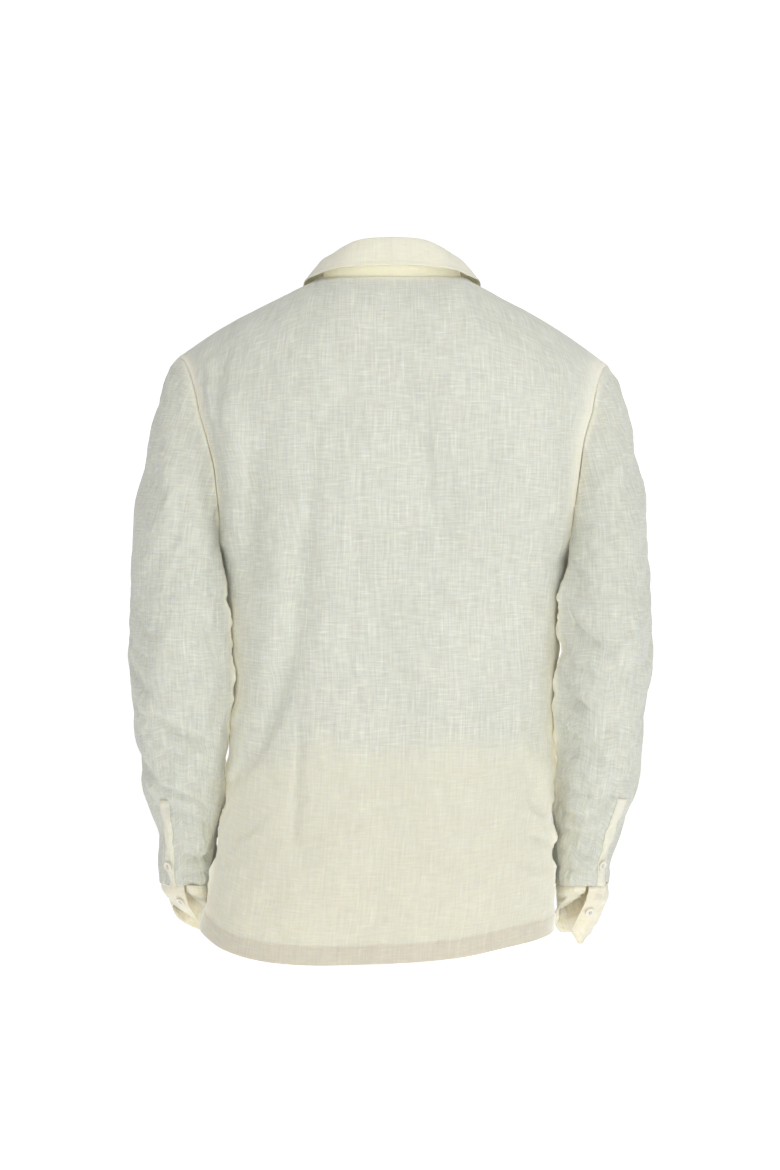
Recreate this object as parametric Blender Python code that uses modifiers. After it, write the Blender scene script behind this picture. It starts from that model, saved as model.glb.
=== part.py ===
"""A popover shirt as it is worn, hollow and with no wearer.

+Z is up, the front faces -Y and the wearer's left is +X. The origin is between the two neck
points, at the height of the neck seam, where the wearer's shoulders carry the shirt. Lengths are in metres.
Every cloth panel is a grid of points worked out from the tables below, given a wall that goes inwards.
"""

import math

import bpy
import numpy as np
from mathutils import Vector

CLOTH_WALL = 0.0015
COLLAR_WALL = 0.0018
SEAM_GAP = 0.0008
SHOULDER_SEAM_GAP = 0.0013
SKIN_GAP = 0.0004

ARMPIT_HEIGHT = -0.302
BLADE_HEIGHT = -0.140
NECK_HALF_WIDTH = 0.076
NECK_BACK_DEPTH = 0.058
NECK_FRONT_DEPTH = 0.086
NECK_POINT_HEIGHT = 0.008
NECK_BACK_HEIGHT = 0.004
NECK_FRONT_HEIGHT = -0.072
NECK_SHARE = 0.36
NECKLINE_POWER = 1.4
SHOULDER_SWELL = 0.006
SHOULDER_SWELL_POWER = 1.5
SHOULDER_NARROWING_POWER = 1.2
SECTION_POWER = 0.88
SIDE_SEAM_BLEND = 0.045
FOLD_FADE = 0.12
FOLD_END_POWER = 0.7
FOLD_SIDEWAYS = 0.25
FOLD_SIDEWAYS_FULL_AT = 0.15
FOLD_SLOPE_STEP = 0.004

SLIT_LENGTH = 0.27
SLIT_HALF_WIDTH = 0.0008
PLACKET_WIDTH = 0.032
STAND_SET_IN = 0.985

SLEEVE_CAP_END = -0.345
# How a sleeve leaves the armhole: outward at the armpit and how much more at the shoulder, and backward
CAP_OUTWARD = 0.12
CAP_OUTWARD_AT_TOP = 0.40
CAP_BACKWARD = 0.35
CAP_FALL_LESS_AT_TOP = 0.12
CAP_SHORTER_AT_TOP = 0.25
CAP_GAP_AT_TOP = 0.5
SLEEVE_FOLD_LEAD_IN = 60.0
WRIST_HEIGHT = -0.652
SLEEVE_SLIT_TOP = -0.578
SLEEVE_LEAN = {"left": 0.008, "right": 0.004}
SLEEVE_SLIT_ANGLE = 50.0
SLEEVE_SLIT_HALF_TURN = 1.2
SLEEVE_PLACKET_TOP = -0.558
CUFF_OVERLAP_ANGLE = 75.0
CUFF_TURN = 354.0

BUTTON_RADIUS = 0.0056
BUTTON_THICKNESS = 0.0022
BUTTON_SIDES = 14

# One row for each height of the body: the middle, half the width, and how far the back, the front and
# the side seams lie from the plane through the neck points.
BODY_COLUMNS = ("height", "middle", "half_width", "back", "front", "side")
BODY = (
    (-0.760, 0.0180, 0.1925, 0.133, -0.113, 0.022),
    (-0.690, 0.0165, 0.1900, 0.130, -0.113, 0.020),
    (-0.650, 0.0105, 0.1865, 0.127, -0.114, 0.018),
    (-0.600, 0.0065, 0.1822, 0.121, -0.115, 0.014),
    (-0.560, 0.0027, 0.1784, 0.113, -0.117, 0.010),
    (-0.510, 0.0010, 0.1778, 0.102, -0.118, 0.006),
    (-0.470, 0.0000, 0.1770, 0.101, -0.119, 0.004),
    (-0.435, -0.0025, 0.1752, 0.103, -0.120, 0.003),
    (-0.400, -0.0020, 0.1780, 0.107, -0.121, 0.002),
    (-0.345, -0.0015, 0.1812, 0.114, -0.123, 0.001),
    (-0.302, 0.0000, 0.1860, 0.119, -0.125, 0.000),
    (-0.230, 0.0000, 0.1920, 0.124, -0.127, 0.000),
    (-0.170, 0.0000, 0.2050, 0.126, -0.125, 0.000),
    (-0.140, 0.0000, 0.2120, 0.125, -0.121, 0.000),
)

# The armhole edge of the body on each side, from the armpit up to shoulder blade height.
ARMHOLE_COLUMNS = ("height", "left", "right", "back", "front", "turn")
ARMHOLE = (
    (-0.302, 0.1860, 0.1900, 0.000, 0.000, 90.0),
    (-0.285, 0.1850, 0.1920, 0.026, -0.026, 84.0),
    (-0.255, 0.1850, 0.1945, 0.043, -0.043, 78.0),
    (-0.225, 0.1880, 0.1985, 0.052, -0.051, 73.0),
    (-0.198, 0.1910, 0.2020, 0.056, -0.054, 69.0),
    (-0.170, 0.1980, 0.2060, 0.057, -0.054, 65.0),
    (-0.140, 0.2070, 0.2150, 0.053, -0.051, 61.0),
)
# Where the sleeve's angles meet the panel's rows along the armhole, from the shoulder to the armpit.
ARMHOLE_ANGLES = (0.0, 25.0, 50.0, 76.0, 98.0, 118.0, 138.0, 159.0, 180.0)
ARMHOLE_ROWS = (3.0, 2.67, 2.33, 2.0, 1.72, 1.46, 1.25, 1.1, 1.0)
SHOULDER_POINT = {"left": (0.2326, -0.0793), "right": (-0.2348, -0.0880)}

# The lower edge of the back and of the front, across from the right side seam to the left one.
HEM_COLUMNS = ("across", "back", "front")
HEM = (
    (-1.00, -0.6980, -0.6980),
    (-0.75, -0.7030, -0.7020),
    (-0.465, -0.7110, -0.7080),
    (-0.30, -0.7180, -0.7130),
    (0.00, -0.7250, -0.7160),
    (0.25, -0.7265, -0.7150),
    (0.41, -0.7234, -0.7120),
    (0.62, -0.7137, -0.7060),
    (0.80, -0.7020, -0.6990),
    (1.00, -0.6935, -0.6935),
)

# Each fold runs down through four places. A depth under zero is a ridge.
FOLD_COLUMNS = ("x0", "z0", "x1", "z1", "x2", "z2", "x3", "z3", "width", "depth")
BACK_FOLDS = (
    (0.134, -0.160, 0.140, -0.215, 0.147, -0.265, 0.152, -0.330, 0.0150, 0.0100),
    (0.172, -0.110, 0.170, -0.170, 0.168, -0.225, 0.168, -0.290, 0.0140, -0.0070),
    (0.079, -0.170, 0.087, -0.320, 0.112, -0.430, 0.168, -0.550, 0.0160, 0.0100),
    (0.118, -0.260, 0.124, -0.360, 0.142, -0.430, 0.166, -0.480, 0.0170, -0.0055),
    (0.097, -0.450, 0.100, -0.500, 0.104, -0.560, 0.108, -0.630, 0.0120, 0.0045),
    (-0.018, -0.110, -0.020, -0.160, -0.024, -0.210, -0.026, -0.270, 0.0200, 0.0035),
    (-0.042, -0.200, -0.044, -0.260, -0.044, -0.330, -0.040, -0.400, 0.0170, 0.0035),
    (-0.118, -0.220, -0.120, -0.290, -0.122, -0.360, -0.116, -0.440, 0.0170, 0.0045),
    (-0.148, -0.420, -0.154, -0.480, -0.154, -0.540, -0.146, -0.610, 0.0150, 0.0065),
)
FRONT_FOLDS = (
    (0.130, -0.170, 0.126, -0.260, 0.120, -0.350, 0.116, -0.460, 0.0180, 0.0080),
    (-0.132, -0.180, -0.128, -0.270, -0.124, -0.360, -0.112, -0.480, 0.0180, 0.0085),
    (0.074, -0.360, 0.078, -0.450, 0.084, -0.540, 0.090, -0.640, 0.0190, 0.0055),
    (-0.070, -0.400, -0.076, -0.480, -0.082, -0.560, -0.086, -0.650, 0.0190, 0.0060),
    (0.030, -0.420, 0.026, -0.500, 0.022, -0.570, 0.024, -0.640, 0.0180, 0.0040),
)

# Each sleeve below its cap: how far out, in, forward and back its cloth reaches at each height.
SLEEVE_COLUMNS = ("height", "outer", "inner", "front", "back")
SLEEVES = {
    "left": (
        (-0.652, 0.2525, 0.1985, -0.076, 0.014),
        (-0.625, 0.2545, 0.1955, -0.077, 0.024),
        (-0.594, 0.2560, 0.1920, -0.078, 0.036),
        (-0.570, 0.2640, 0.1875, -0.078, 0.046),
        (-0.550, 0.2707, 0.1855, -0.077, 0.054),
        (-0.509, 0.2750, 0.1825, -0.074, 0.070),
        (-0.467, 0.2794, 0.1810, -0.069, 0.084),
        (-0.425, 0.2826, 0.1795, -0.064, 0.093),
        (-0.377, 0.2848, 0.1815, -0.064, 0.092),
        (-0.345, 0.2848, 0.1845, -0.066, 0.087),
    ),
    "right": (
        (-0.652, -0.2370, -0.1800, -0.074, 0.014),
        (-0.625, -0.2405, -0.1800, -0.076, 0.024),
        (-0.594, -0.2500, -0.1795, -0.077, 0.036),
        (-0.567, -0.2598, -0.1800, -0.078, 0.046),
        (-0.516, -0.2696, -0.1810, -0.075, 0.068),
        (-0.490, -0.2720, -0.1815, -0.071, 0.077),
        (-0.437, -0.2765, -0.1825, -0.065, 0.092),
        (-0.409, -0.2800, -0.1835, -0.064, 0.094),
        (-0.377, -0.2808, -0.1850, -0.064, 0.092),
        (-0.345, -0.2804, -0.1870, -0.066, 0.087),
    ),
}

# Folds of a sleeve: from one angle and height to another. 0 degrees is outside, 90 behind, 180 inside.
SLEEVE_FOLD_COLUMNS = ("angle0", "height0", "angle1", "height1", "width", "depth")
SLEEVE_FOLDS = {
    "left": (
        (70.0, -0.345, 150.0, -0.395, 0.0120, 0.0065),
        (-10.0, -0.405, 70.0, -0.455, 0.0120, 0.0060),
        (60.0, -0.480, 150.0, -0.505, 0.0110, 0.0050),
        (-20.0, -0.500, 60.0, -0.545, 0.0110, 0.0050),
        (20.0, -0.552, 140.0, -0.590, 0.0100, 0.0055),
        (80.0, -0.622, 160.0, -0.616, 0.0090, 0.0030),
        (200.0, -0.380, 300.0, -0.430, 0.0130, 0.0065),
        (210.0, -0.470, 310.0, -0.450, 0.0120, 0.0055),
        (220.0, -0.540, 320.0, -0.575, 0.0110, 0.0045),
    ),
    "right": (
        (60.0, -0.425, 150.0, -0.370, 0.0120, 0.0070),
        (70.0, -0.470, 160.0, -0.445, 0.0110, 0.0050),
        (60.0, -0.520, 165.0, -0.490, 0.0100, 0.0045),
        (60.0, -0.560, 165.0, -0.535, 0.0100, 0.0040),
        (75.0, -0.605, 165.0, -0.590, 0.0090, 0.0035),
        (200.0, -0.385, 300.0, -0.420, 0.0130, 0.0065),
        (215.0, -0.460, 310.0, -0.480, 0.0120, 0.0055),
        (220.0, -0.550, 320.0, -0.530, 0.0110, 0.0045),
    ),
}

# The lower edge of each open cuff, round from its overlap end by the outside, front and inside.
CUFF_COLUMNS = ("share", "x", "y", "height")
CUFFS = {
    "left": (
        (0.00, 0.2120, -0.006, -0.6910),
        (0.12, 0.2250, -0.012, -0.6830),
        (0.28, 0.2405, -0.032, -0.6760),
        (0.45, 0.2380, -0.064, -0.6930),
        (0.62, 0.2180, -0.080, -0.7060),
        (0.78, 0.2040, -0.066, -0.7040),
        (0.90, 0.2060, -0.042, -0.6830),
        (1.00, 0.2200, -0.018, -0.6640),
    ),
    "right": (
        (0.00, -0.1950, -0.004, -0.7040),
        (0.10, -0.2040, -0.008, -0.7170),
        (0.25, -0.2160, -0.026, -0.7080),
        (0.45, -0.2180, -0.060, -0.7060),
        (0.62, -0.2010, -0.076, -0.7090),
        (0.78, -0.1830, -0.064, -0.7060),
        (0.90, -0.1800, -0.038, -0.6860),
        (1.00, -0.2020, -0.018, -0.6680),
    ),
}

# The collar, by the angle round the neck from the middle of the back: the stand's height and lean,
# and the free edge of the fall.
COLLAR_COLUMNS = ("angle", "stand_height", "stand_lean", "edge_x", "edge_y", "edge_height")
COLLAR = (
    (0.0, 0.0410, 0.005, 0.0000, 0.0725, 0.0158),
    (30.0, 0.0380, 0.006, 0.0440, 0.0655, 0.0148),
    (50.0, 0.0310, 0.008, 0.0680, 0.0530, 0.0125),
    (70.0, 0.0230, 0.007, 0.0850, 0.0310, 0.0075),
    (90.0, 0.0190, 0.003, 0.0950, -0.0030, 0.0050),
    (103.0, 0.0190, 0.002, 0.0975, -0.0300, 0.0015),
    (115.0, 0.0200, 0.001, 0.0965, -0.0560, -0.0040),
    (127.0, 0.0215, 0.001, 0.0900, -0.0800, -0.0260),
    (140.0, 0.0230, 0.002, 0.0800, -0.1030, -0.0560),
    (160.0, 0.0260, 0.003, 0.0600, -0.1270, -0.1050),
    (176.0, 0.0280, 0.004, 0.0460, -0.1365, -0.1370),
)
COLLAR_END_ANGLE = 176.0
FALL_ROLL = 0.45
FALL_ARRIVAL = 0.9

FRONT_BUTTON_HEIGHTS = (-0.130, -0.200, -0.270)
BUTTON_STAND_OFF = 0.0009

# How finely each piece is divided
NECK_COLUMNS = 5
SHOULDER_COLUMNS = 7
BODY_ROWS = 16
PANEL_ROWS = np.concatenate([np.linspace(0, 1, BODY_ROWS + 1), ARMHOLE_ROWS[-2::-1]])
ACROSS = np.concatenate(
    [np.linspace(-1, -NECK_SHARE, SHOULDER_COLUMNS + 1), np.linspace(-NECK_SHARE, 0, NECK_COLUMNS + 1)[1:]]
)
ACROSS = np.concatenate([ACROSS, -ACROSS[-2::-1]])
SLIT_COLUMN_REACH = 0.08
SLIT_SEARCH_REACH = 0.3
SLIT_SEARCH_STEPS = 200
SLEEVE_CAP_ROWS = np.linspace(0, 1, 7)[:-1]
SLEEVE_LOWER_ROWS = np.linspace(0, 1, 20)
SLEEVE_BUTTON_ROW = -3
CUFF_ROWS = 5
CUFF_COLUMNS_ROUND = 19
CUFF_BUTTON_ROW = 2
CUFF_BUTTON_COLUMN = 1
STAND_ROWS = 4
FALL_ROWS = (0.0, 0.12, 0.3, 0.6, 1.0)


def column(names, table, name, at):
    """A column of a table read at any place, on a smooth curve through its rows."""
    rows = np.array(table)
    places = rows[:, 0]
    values = rows[:, names.index(name)]
    slopes = np.gradient(values, places)
    at = np.clip(at, places[0], places[-1])
    low = np.clip(np.searchsorted(places, at, side="right") - 1, 0, len(places) - 2)
    span = places[low + 1] - places[low]
    t = (at - places[low]) / span
    start = (2 * t**3 - 3 * t**2 + 1) * values[low] + (t**3 - 2 * t**2 + t) * span * slopes[low]
    end = (3 * t**2 - 2 * t**3) * values[low + 1] + (t**3 - t**2) * span * slopes[low + 1]
    return start + end


def sine(degrees):
    return np.sin(np.radians(degrees))


def cosine(degrees):
    return np.cos(np.radians(degrees))


def section(across, height, is_back):
    """A point of the body at a height: across runs from -1, the right edge, to 1, the left edge."""
    share = np.abs(across)
    is_left = across >= 0
    depth = column(BODY_COLUMNS, BODY, "back" if is_back else "front", height)
    middle = column(BODY_COLUMNS, BODY, "middle", height)
    low_x = column(BODY_COLUMNS, BODY, "half_width", height)
    low_y = column(BODY_COLUMNS, BODY, "side", height)
    left = column(ARMHOLE_COLUMNS, ARMHOLE, "left", height)
    right = column(ARMHOLE_COLUMNS, ARMHOLE, "right", height)
    above = height > ARMPIT_HEIGHT
    armhole_x = np.where(is_left, left, right)
    blend = np.clip((height - ARMPIT_HEIGHT + SIDE_SEAM_BLEND) / SIDE_SEAM_BLEND, 0, 1)
    armpit_x = np.where(is_left, ARMHOLE[0][1], ARMHOLE[0][2])
    low_x = low_x + (armpit_x - column(BODY_COLUMNS, BODY, "half_width", ARMPIT_HEIGHT)) * blend
    edge_x = np.where(above, armhole_x, low_x)
    armhole_y = column(ARMHOLE_COLUMNS, ARMHOLE, "back" if is_back else "front", height)
    edge_y = np.where(above, armhole_y, low_y)
    edge_y = edge_y + (SEAM_GAP / 2 if is_back else -SEAM_GAP / 2)
    turn = np.where(above, column(ARMHOLE_COLUMNS, ARMHOLE, "turn", height), 90.0)
    out = (sine(share * turn) / sine(turn)) ** SECTION_POWER
    rise = 1 - (1 - cosine(share * turn)) / (1 - cosine(turn))
    x = middle + np.sign(across) * edge_x * out
    y = edge_y + (depth - edge_y) * np.maximum(rise, 0) ** SECTION_POWER
    return np.stack([x, y, height + 0 * x], axis=-1)


def top_edge(across, is_back):
    """The upper edge of a panel: the neckline out to the neck points, then the shoulder seams."""
    share = np.abs(across)
    turn = 90 * np.minimum(share / NECK_SHARE, 1)
    depth = NECK_BACK_DEPTH if is_back else -NECK_FRONT_DEPTH
    middle_height = NECK_BACK_HEIGHT if is_back else NECK_FRONT_HEIGHT
    neck_x = NECK_HALF_WIDTH * sine(turn)
    neck_y = depth * cosine(turn)
    neck_z = NECK_POINT_HEIGHT + (middle_height - NECK_POINT_HEIGHT) * cosine(turn) ** NECKLINE_POWER
    along = np.clip((share - NECK_SHARE) / (1 - NECK_SHARE), 0, 1)
    tip_x = np.where(across >= 0, SHOULDER_POINT["left"][0], -SHOULDER_POINT["right"][0])
    tip_z = np.where(across >= 0, SHOULDER_POINT["left"][1], SHOULDER_POINT["right"][1])
    x = np.sign(across) * (neck_x + (tip_x - NECK_HALF_WIDTH) * along)
    swell = SHOULDER_SWELL * np.sin(math.pi * along**SHOULDER_SWELL_POWER)
    z = neck_z + (tip_z - NECK_POINT_HEIGHT) * along + swell
    y = neck_y + (SHOULDER_SEAM_GAP / 2 if is_back else -SHOULDER_SEAM_GAP / 2)
    return np.stack([x, y, z], axis=-1)


def panel(across, up, is_back):
    """A point of the back or front. Up is 0 at the hem, 1 at the armpits, 2 at the blades, 3 at the top."""
    across, up = np.broadcast_arrays(np.asarray(across, float), np.asarray(up, float))
    hem = column(HEM_COLUMNS, HEM, "back" if is_back else "front", across)
    height = hem + (ARMPIT_HEIGHT - hem) * np.clip(up, 0, 1)
    height = height + (BLADE_HEIGHT - ARMPIT_HEIGHT) * np.clip(up - 1, 0, 1)
    lower = section(across, height, is_back)
    top = top_edge(across, is_back)
    turn = 90 * np.clip(up - 2, 0, 1)
    x = lower[..., 0] + (top[..., 0] - lower[..., 0]) * (turn / 90) ** SHOULDER_NARROWING_POWER
    y = top[..., 1] + (lower[..., 1] - top[..., 1]) * cosine(turn)
    z = lower[..., 2] + (top[..., 2] - lower[..., 2]) * sine(turn)
    points = np.stack([x, y, z], axis=-1)
    fade = np.clip((1 - np.abs(across)) / FOLD_FADE, 0, 1)[..., None]
    return points + fold_push(points, BACK_FOLDS if is_back else FRONT_FOLDS, is_back) * fade


def fold_push(points, folds, is_back):
    """How far the folds move each point in or out."""
    x = points[..., 0]
    z = points[..., 2]
    push = np.zeros_like(x)
    for row in folds:
        fold = dict(zip(FOLD_COLUMNS, row))
        path = sorted((fold[f"z{i}"], fold[f"x{i}"]) for i in range(4))
        centre = column(("z", "x"), path, "x", z)
        slope = (centre - column(("z", "x"), path, "x", z - FOLD_SLOPE_STEP)) / FOLD_SLOPE_STEP
        distance = (x - centre) / np.sqrt(1 + slope**2) / fold["width"]
        share = np.clip((z - path[0][0]) / (path[3][0] - path[0][0]), 0, 1)
        push += fold["depth"] * np.exp(-(distance**2)) * np.sin(math.pi * share) ** FOLD_END_POWER
    side = 1 if is_back else -1
    sideways = FOLD_SIDEWAYS * np.clip(x / FOLD_SIDEWAYS_FULL_AT, -1, 1)
    out = np.stack([sideways, side + 0 * x, 0 * x], axis=-1)
    return -out * push[..., None]


def armhole(side, angle):
    """The body's armhole edge by the sleeve's angle: 0 at the shoulder, 90 behind, 180 at the armpit."""
    sign = 1 if side == "left" else -1
    angle = np.mod(np.asarray(angle, float), 360)
    is_behind = angle <= 180
    up = np.interp(np.where(is_behind, angle, 360 - angle), ARMHOLE_ANGLES, ARMHOLE_ROWS)
    edges = [panel(sign + 0 * up, up, is_back) for is_back in (True, False)]
    return np.where(is_behind[..., None], edges[0], edges[1])


def sleeve_ring(side, angle, height):
    """A point of the sleeve below its cap, with its folds."""
    read = {name: column(SLEEVE_COLUMNS, SLEEVES[side], name, height) for name in SLEEVE_COLUMNS[1:]}
    sign = 1 if side == "left" else -1
    push = np.zeros(np.broadcast(angle, height).shape)
    for row in SLEEVE_FOLDS[side]:
        fold = dict(zip(SLEEVE_FOLD_COLUMNS, row))
        turn = np.mod(angle - fold["angle0"] + SLEEVE_FOLD_LEAD_IN, 360) - SLEEVE_FOLD_LEAD_IN
        share = turn / (fold["angle1"] - fold["angle0"])
        centre = fold["height0"] + (fold["height1"] - fold["height0"]) * share
        window = np.sin(math.pi * np.clip(share, 0, 1)) ** FOLD_END_POWER
        push = push + fold["depth"] * np.exp(-(((height - centre) / fold["width"]) ** 2)) * window
    half_x = np.abs(read["outer"] - read["inner"]) / 2 - push
    half_y = (read["back"] - read["front"]) / 2 - push
    c = cosine(angle)
    s = sine(angle)
    x = (read["outer"] + read["inner"]) / 2 + sign * half_x * np.sign(c) * np.abs(c) ** SECTION_POWER
    x = x - sign * SLEEVE_LEAN[side] * s
    y = (read["back"] + read["front"]) / 2 + half_y * np.sign(s) * np.abs(s) ** SECTION_POWER
    return np.stack([x, y, height + 0 * x], axis=-1)


def sleeve(side, angle, down):
    """A point of a sleeve. Down is 0 at the armhole, 1 where the cap ends and 2 at the wrist."""
    angle, down = np.broadcast_arrays(np.asarray(angle, float), np.asarray(down, float))
    sign = 1 if side == "left" else -1
    start = armhole(side, angle)
    end = sleeve_ring(side, angle, SLEEVE_CAP_END + 0 * angle)
    top = (1 + cosine(angle)) / 2
    outward = sign * (CAP_OUTWARD + CAP_OUTWARD_AT_TOP * top)
    leave = np.stack([outward, CAP_BACKWARD * sine(angle), CAP_FALL_LESS_AT_TOP * top - 1], axis=-1)
    leave = leave / np.linalg.norm(leave, axis=-1, keepdims=True)
    leave = leave * (1 - CAP_SHORTER_AT_TOP * top)[..., None]
    reach = np.linalg.norm(end - start, axis=-1, keepdims=True)
    start = start + np.stack([sign * SEAM_GAP * (1 + CAP_GAP_AT_TOP * top), 0 * top, 0 * top], axis=-1)
    t = np.clip(down, 0, 1)[..., None]
    cap = (2 * t**3 - 3 * t**2 + 1) * start + (t**3 - 2 * t**2 + t) * reach * leave
    cap = cap + (3 * t**2 - 2 * t**3) * end + (t**3 - t**2) * reach * np.array([0, 0, -1.0])
    height = SLEEVE_CAP_END + (WRIST_HEIGHT - SLEEVE_CAP_END) * np.clip(down - 1, 0, 1)
    lower = sleeve_ring(side, angle, height)
    return np.where((down < 1)[..., None], cap, lower)


def cuff(side, angle, down):
    """A point of an open cuff.

    The angle is the sleeve's, going back from the overlap end, and down is 0 at the wrist seam.
    """
    angle, down = np.broadcast_arrays(np.asarray(angle, float), np.asarray(down, float))
    share = (CUFF_OVERLAP_ANGLE - angle) / CUFF_TURN
    start = sleeve(side, angle, 2 + 0 * angle) - np.array([0, 0, SEAM_GAP])
    end = np.stack(
        [column(CUFF_COLUMNS, CUFFS[side], name, share) for name in CUFF_COLUMNS[1:]], axis=-1
    )
    reach = np.linalg.norm(end - start, axis=-1, keepdims=True)
    t = down[..., None]
    straight_down = np.array([0, 0, -1.0])
    first = (2 * t**3 - 3 * t**2 + 1) * start + (t**3 - 2 * t**2 + t) * reach * straight_down
    return first + (3 * t**2 - 2 * t**3) * end + (t**3 - t**2) * (end - start)


def neck(angle):
    """The neck seam by the angle from the middle of the back, right side below zero."""
    is_back = np.abs(angle) <= 90
    depth = np.where(is_back, NECK_BACK_DEPTH, NECK_FRONT_DEPTH)
    middle_height = np.where(is_back, NECK_BACK_HEIGHT, NECK_FRONT_HEIGHT)
    fall = np.abs(cosine(angle)) ** NECKLINE_POWER
    z = NECK_POINT_HEIGHT + (middle_height - NECK_POINT_HEIGHT) * fall
    return np.stack([NECK_HALF_WIDTH * sine(angle), depth * cosine(angle), z], axis=-1)


def collar_stand(angle, up):
    """A point of the stand: straight up from the neck seam, leaning in a little."""
    angle, up = np.broadcast_arrays(np.asarray(angle, float), np.asarray(up, float))
    around = np.abs(angle)
    base = neck(angle) * np.array([STAND_SET_IN, STAND_SET_IN, 1])
    height = column(COLLAR_COLUMNS, COLLAR, "stand_height", around)
    lean = column(COLLAR_COLUMNS, COLLAR, "stand_lean", around)
    out = np.stack([sine(angle), cosine(angle), 0 * angle], axis=-1)
    rise = np.stack([0 * up, 0 * up, SEAM_GAP + up * height], axis=-1)
    return base + rise - out * (lean * up)[..., None]


def collar_fall(angle, down):
    """A point of the fall: over the stand's top edge, then out and down to the free edge."""
    angle, down = np.broadcast_arrays(np.asarray(angle, float), np.asarray(down, float))
    around = np.abs(angle)
    out = np.stack([sine(angle), cosine(angle), 0 * angle], axis=-1)
    top = collar_stand(angle, 1 + 0 * angle) + np.array([0, 0, COLLAR_WALL + SEAM_GAP])
    edge = np.stack(
        [column(COLLAR_COLUMNS, COLLAR, name, around) for name in ("edge_x", "edge_y", "edge_height")],
        axis=-1,
    )
    edge[..., 0] *= np.sign(angle)
    reach = np.linalg.norm(edge - top, axis=-1, keepdims=True)
    t = down[..., None]
    leave = out * FALL_ROLL * reach
    arrive = (edge - top) * FALL_ARRIVAL
    first = (2 * t**3 - 3 * t**2 + 1) * top + (t**3 - 2 * t**2 + t) * leave
    return first + (3 * t**2 - 2 * t**3) * edge + (t**3 - t**2) * arrive


def normals(points):
    """Unit normals of a grid of points, from the way its neighbours lie."""
    along = np.gradient(points, axis=0)
    across = np.gradient(points, axis=1)
    normal = np.cross(along, across)
    return normal / np.linalg.norm(normal, axis=-1, keepdims=True)


def make_material(name, colour, roughness):
    material = bpy.data.materials.new(name)
    material.use_nodes = True
    shader = material.node_tree.nodes["Principled BSDF"]
    shader.inputs["Base Color"].default_value = (*colour, 1.0)
    shader.inputs["Roughness"].default_value = roughness
    shader.inputs["Metallic"].default_value = 0.0
    return material


def add_cloth(name, points, wall, material, outward, shut=None, cut=None):
    """A panel from a grid of points, as an open surface with Solidify whose wall goes inwards.

    Outward is the way the middle of the panel faces. Shut marks rows whose ends are one point, so that
    the panel is a tube there. Cut marks cells that are left out.
    """
    rows, cols = points.shape[:2]
    index = np.arange(rows * cols).reshape(rows, cols)
    if shut is not None:
        index[shut, -1] = index[shut, 0]
    middle = normals(points)[rows // 2, cols // 2]
    if np.dot(middle, outward) > 0:
        corners = [index[:-1, :-1], index[1:, :-1], index[1:, 1:], index[:-1, 1:]]
    else:
        corners = [index[:-1, :-1], index[:-1, 1:], index[1:, 1:], index[1:, :-1]]
    quads = np.stack(corners, axis=-1)
    quads = quads.reshape(-1, 4) if cut is None else quads[~cut]
    used, faces = np.unique(quads, return_inverse=True)
    mesh = bpy.data.meshes.new(name)
    mesh.from_pydata(points.reshape(-1, 3)[used].tolist(), [], faces.reshape(-1, 4).tolist())
    mesh.shade_smooth()
    mesh.materials.append(material)
    piece = bpy.data.objects.new(name, mesh)
    SHIRT.objects.link(piece)
    solidify = piece.modifiers.new("Wall", "SOLIDIFY")
    solidify.thickness = wall
    solidify.offset = -1.0
    return piece


def facing_out(points, outward):
    """Unit normals of a grid, turned so that the middle one faces outward."""
    facing = normals(points)
    middle = facing[facing.shape[0] // 2, facing.shape[1] // 2]
    return facing if np.dot(middle, outward) > 0 else -facing


def add_button(name, place, facing, material):
    """A plain round button, its back just off place and its face along facing."""
    bpy.ops.mesh.primitive_cylinder_add(
        vertices=BUTTON_SIDES, radius=BUTTON_RADIUS, depth=BUTTON_THICKNESS
    )
    button = bpy.context.active_object
    button.name = name
    button.data.name = name
    button.data.materials.append(material)
    facing = Vector(facing).normalized()
    button.rotation_mode = "QUATERNION"
    button.rotation_quaternion = facing.to_track_quat("Z", "Y")
    button.location = Vector(place) + facing * (BUTTON_THICKNESS / 2 + BUTTON_STAND_OFF)
    for collection in list(button.users_collection):
        collection.objects.unlink(button)
    SHIRT.objects.link(button)


def front_grid():
    """The front's points, with a column of points on each side of the slit and along each placket edge."""
    near = np.linspace(0, SLIT_SEARCH_REACH, SLIT_SEARCH_STEPS)
    rows = []
    for up in PANEL_ROWS:
        x = panel(near, up + 0 * near, False)[:, 0]
        placket = np.interp(PLACKET_WIDTH / 2, x - x[0], near)
        right = np.concatenate([ACROSS[ACROSS < -SLIT_COLUMN_REACH], [-placket]])
        across = np.concatenate([right, [0, 0], -right[::-1]])
        row = panel(across, up + 0 * across, False)
        middle = len(right)
        row[middle, 0] -= SLIT_HALF_WIDTH
        row[middle + 1, 0] += SLIT_HALF_WIDTH
        rows.append(row)
    return np.array(rows), middle


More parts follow.
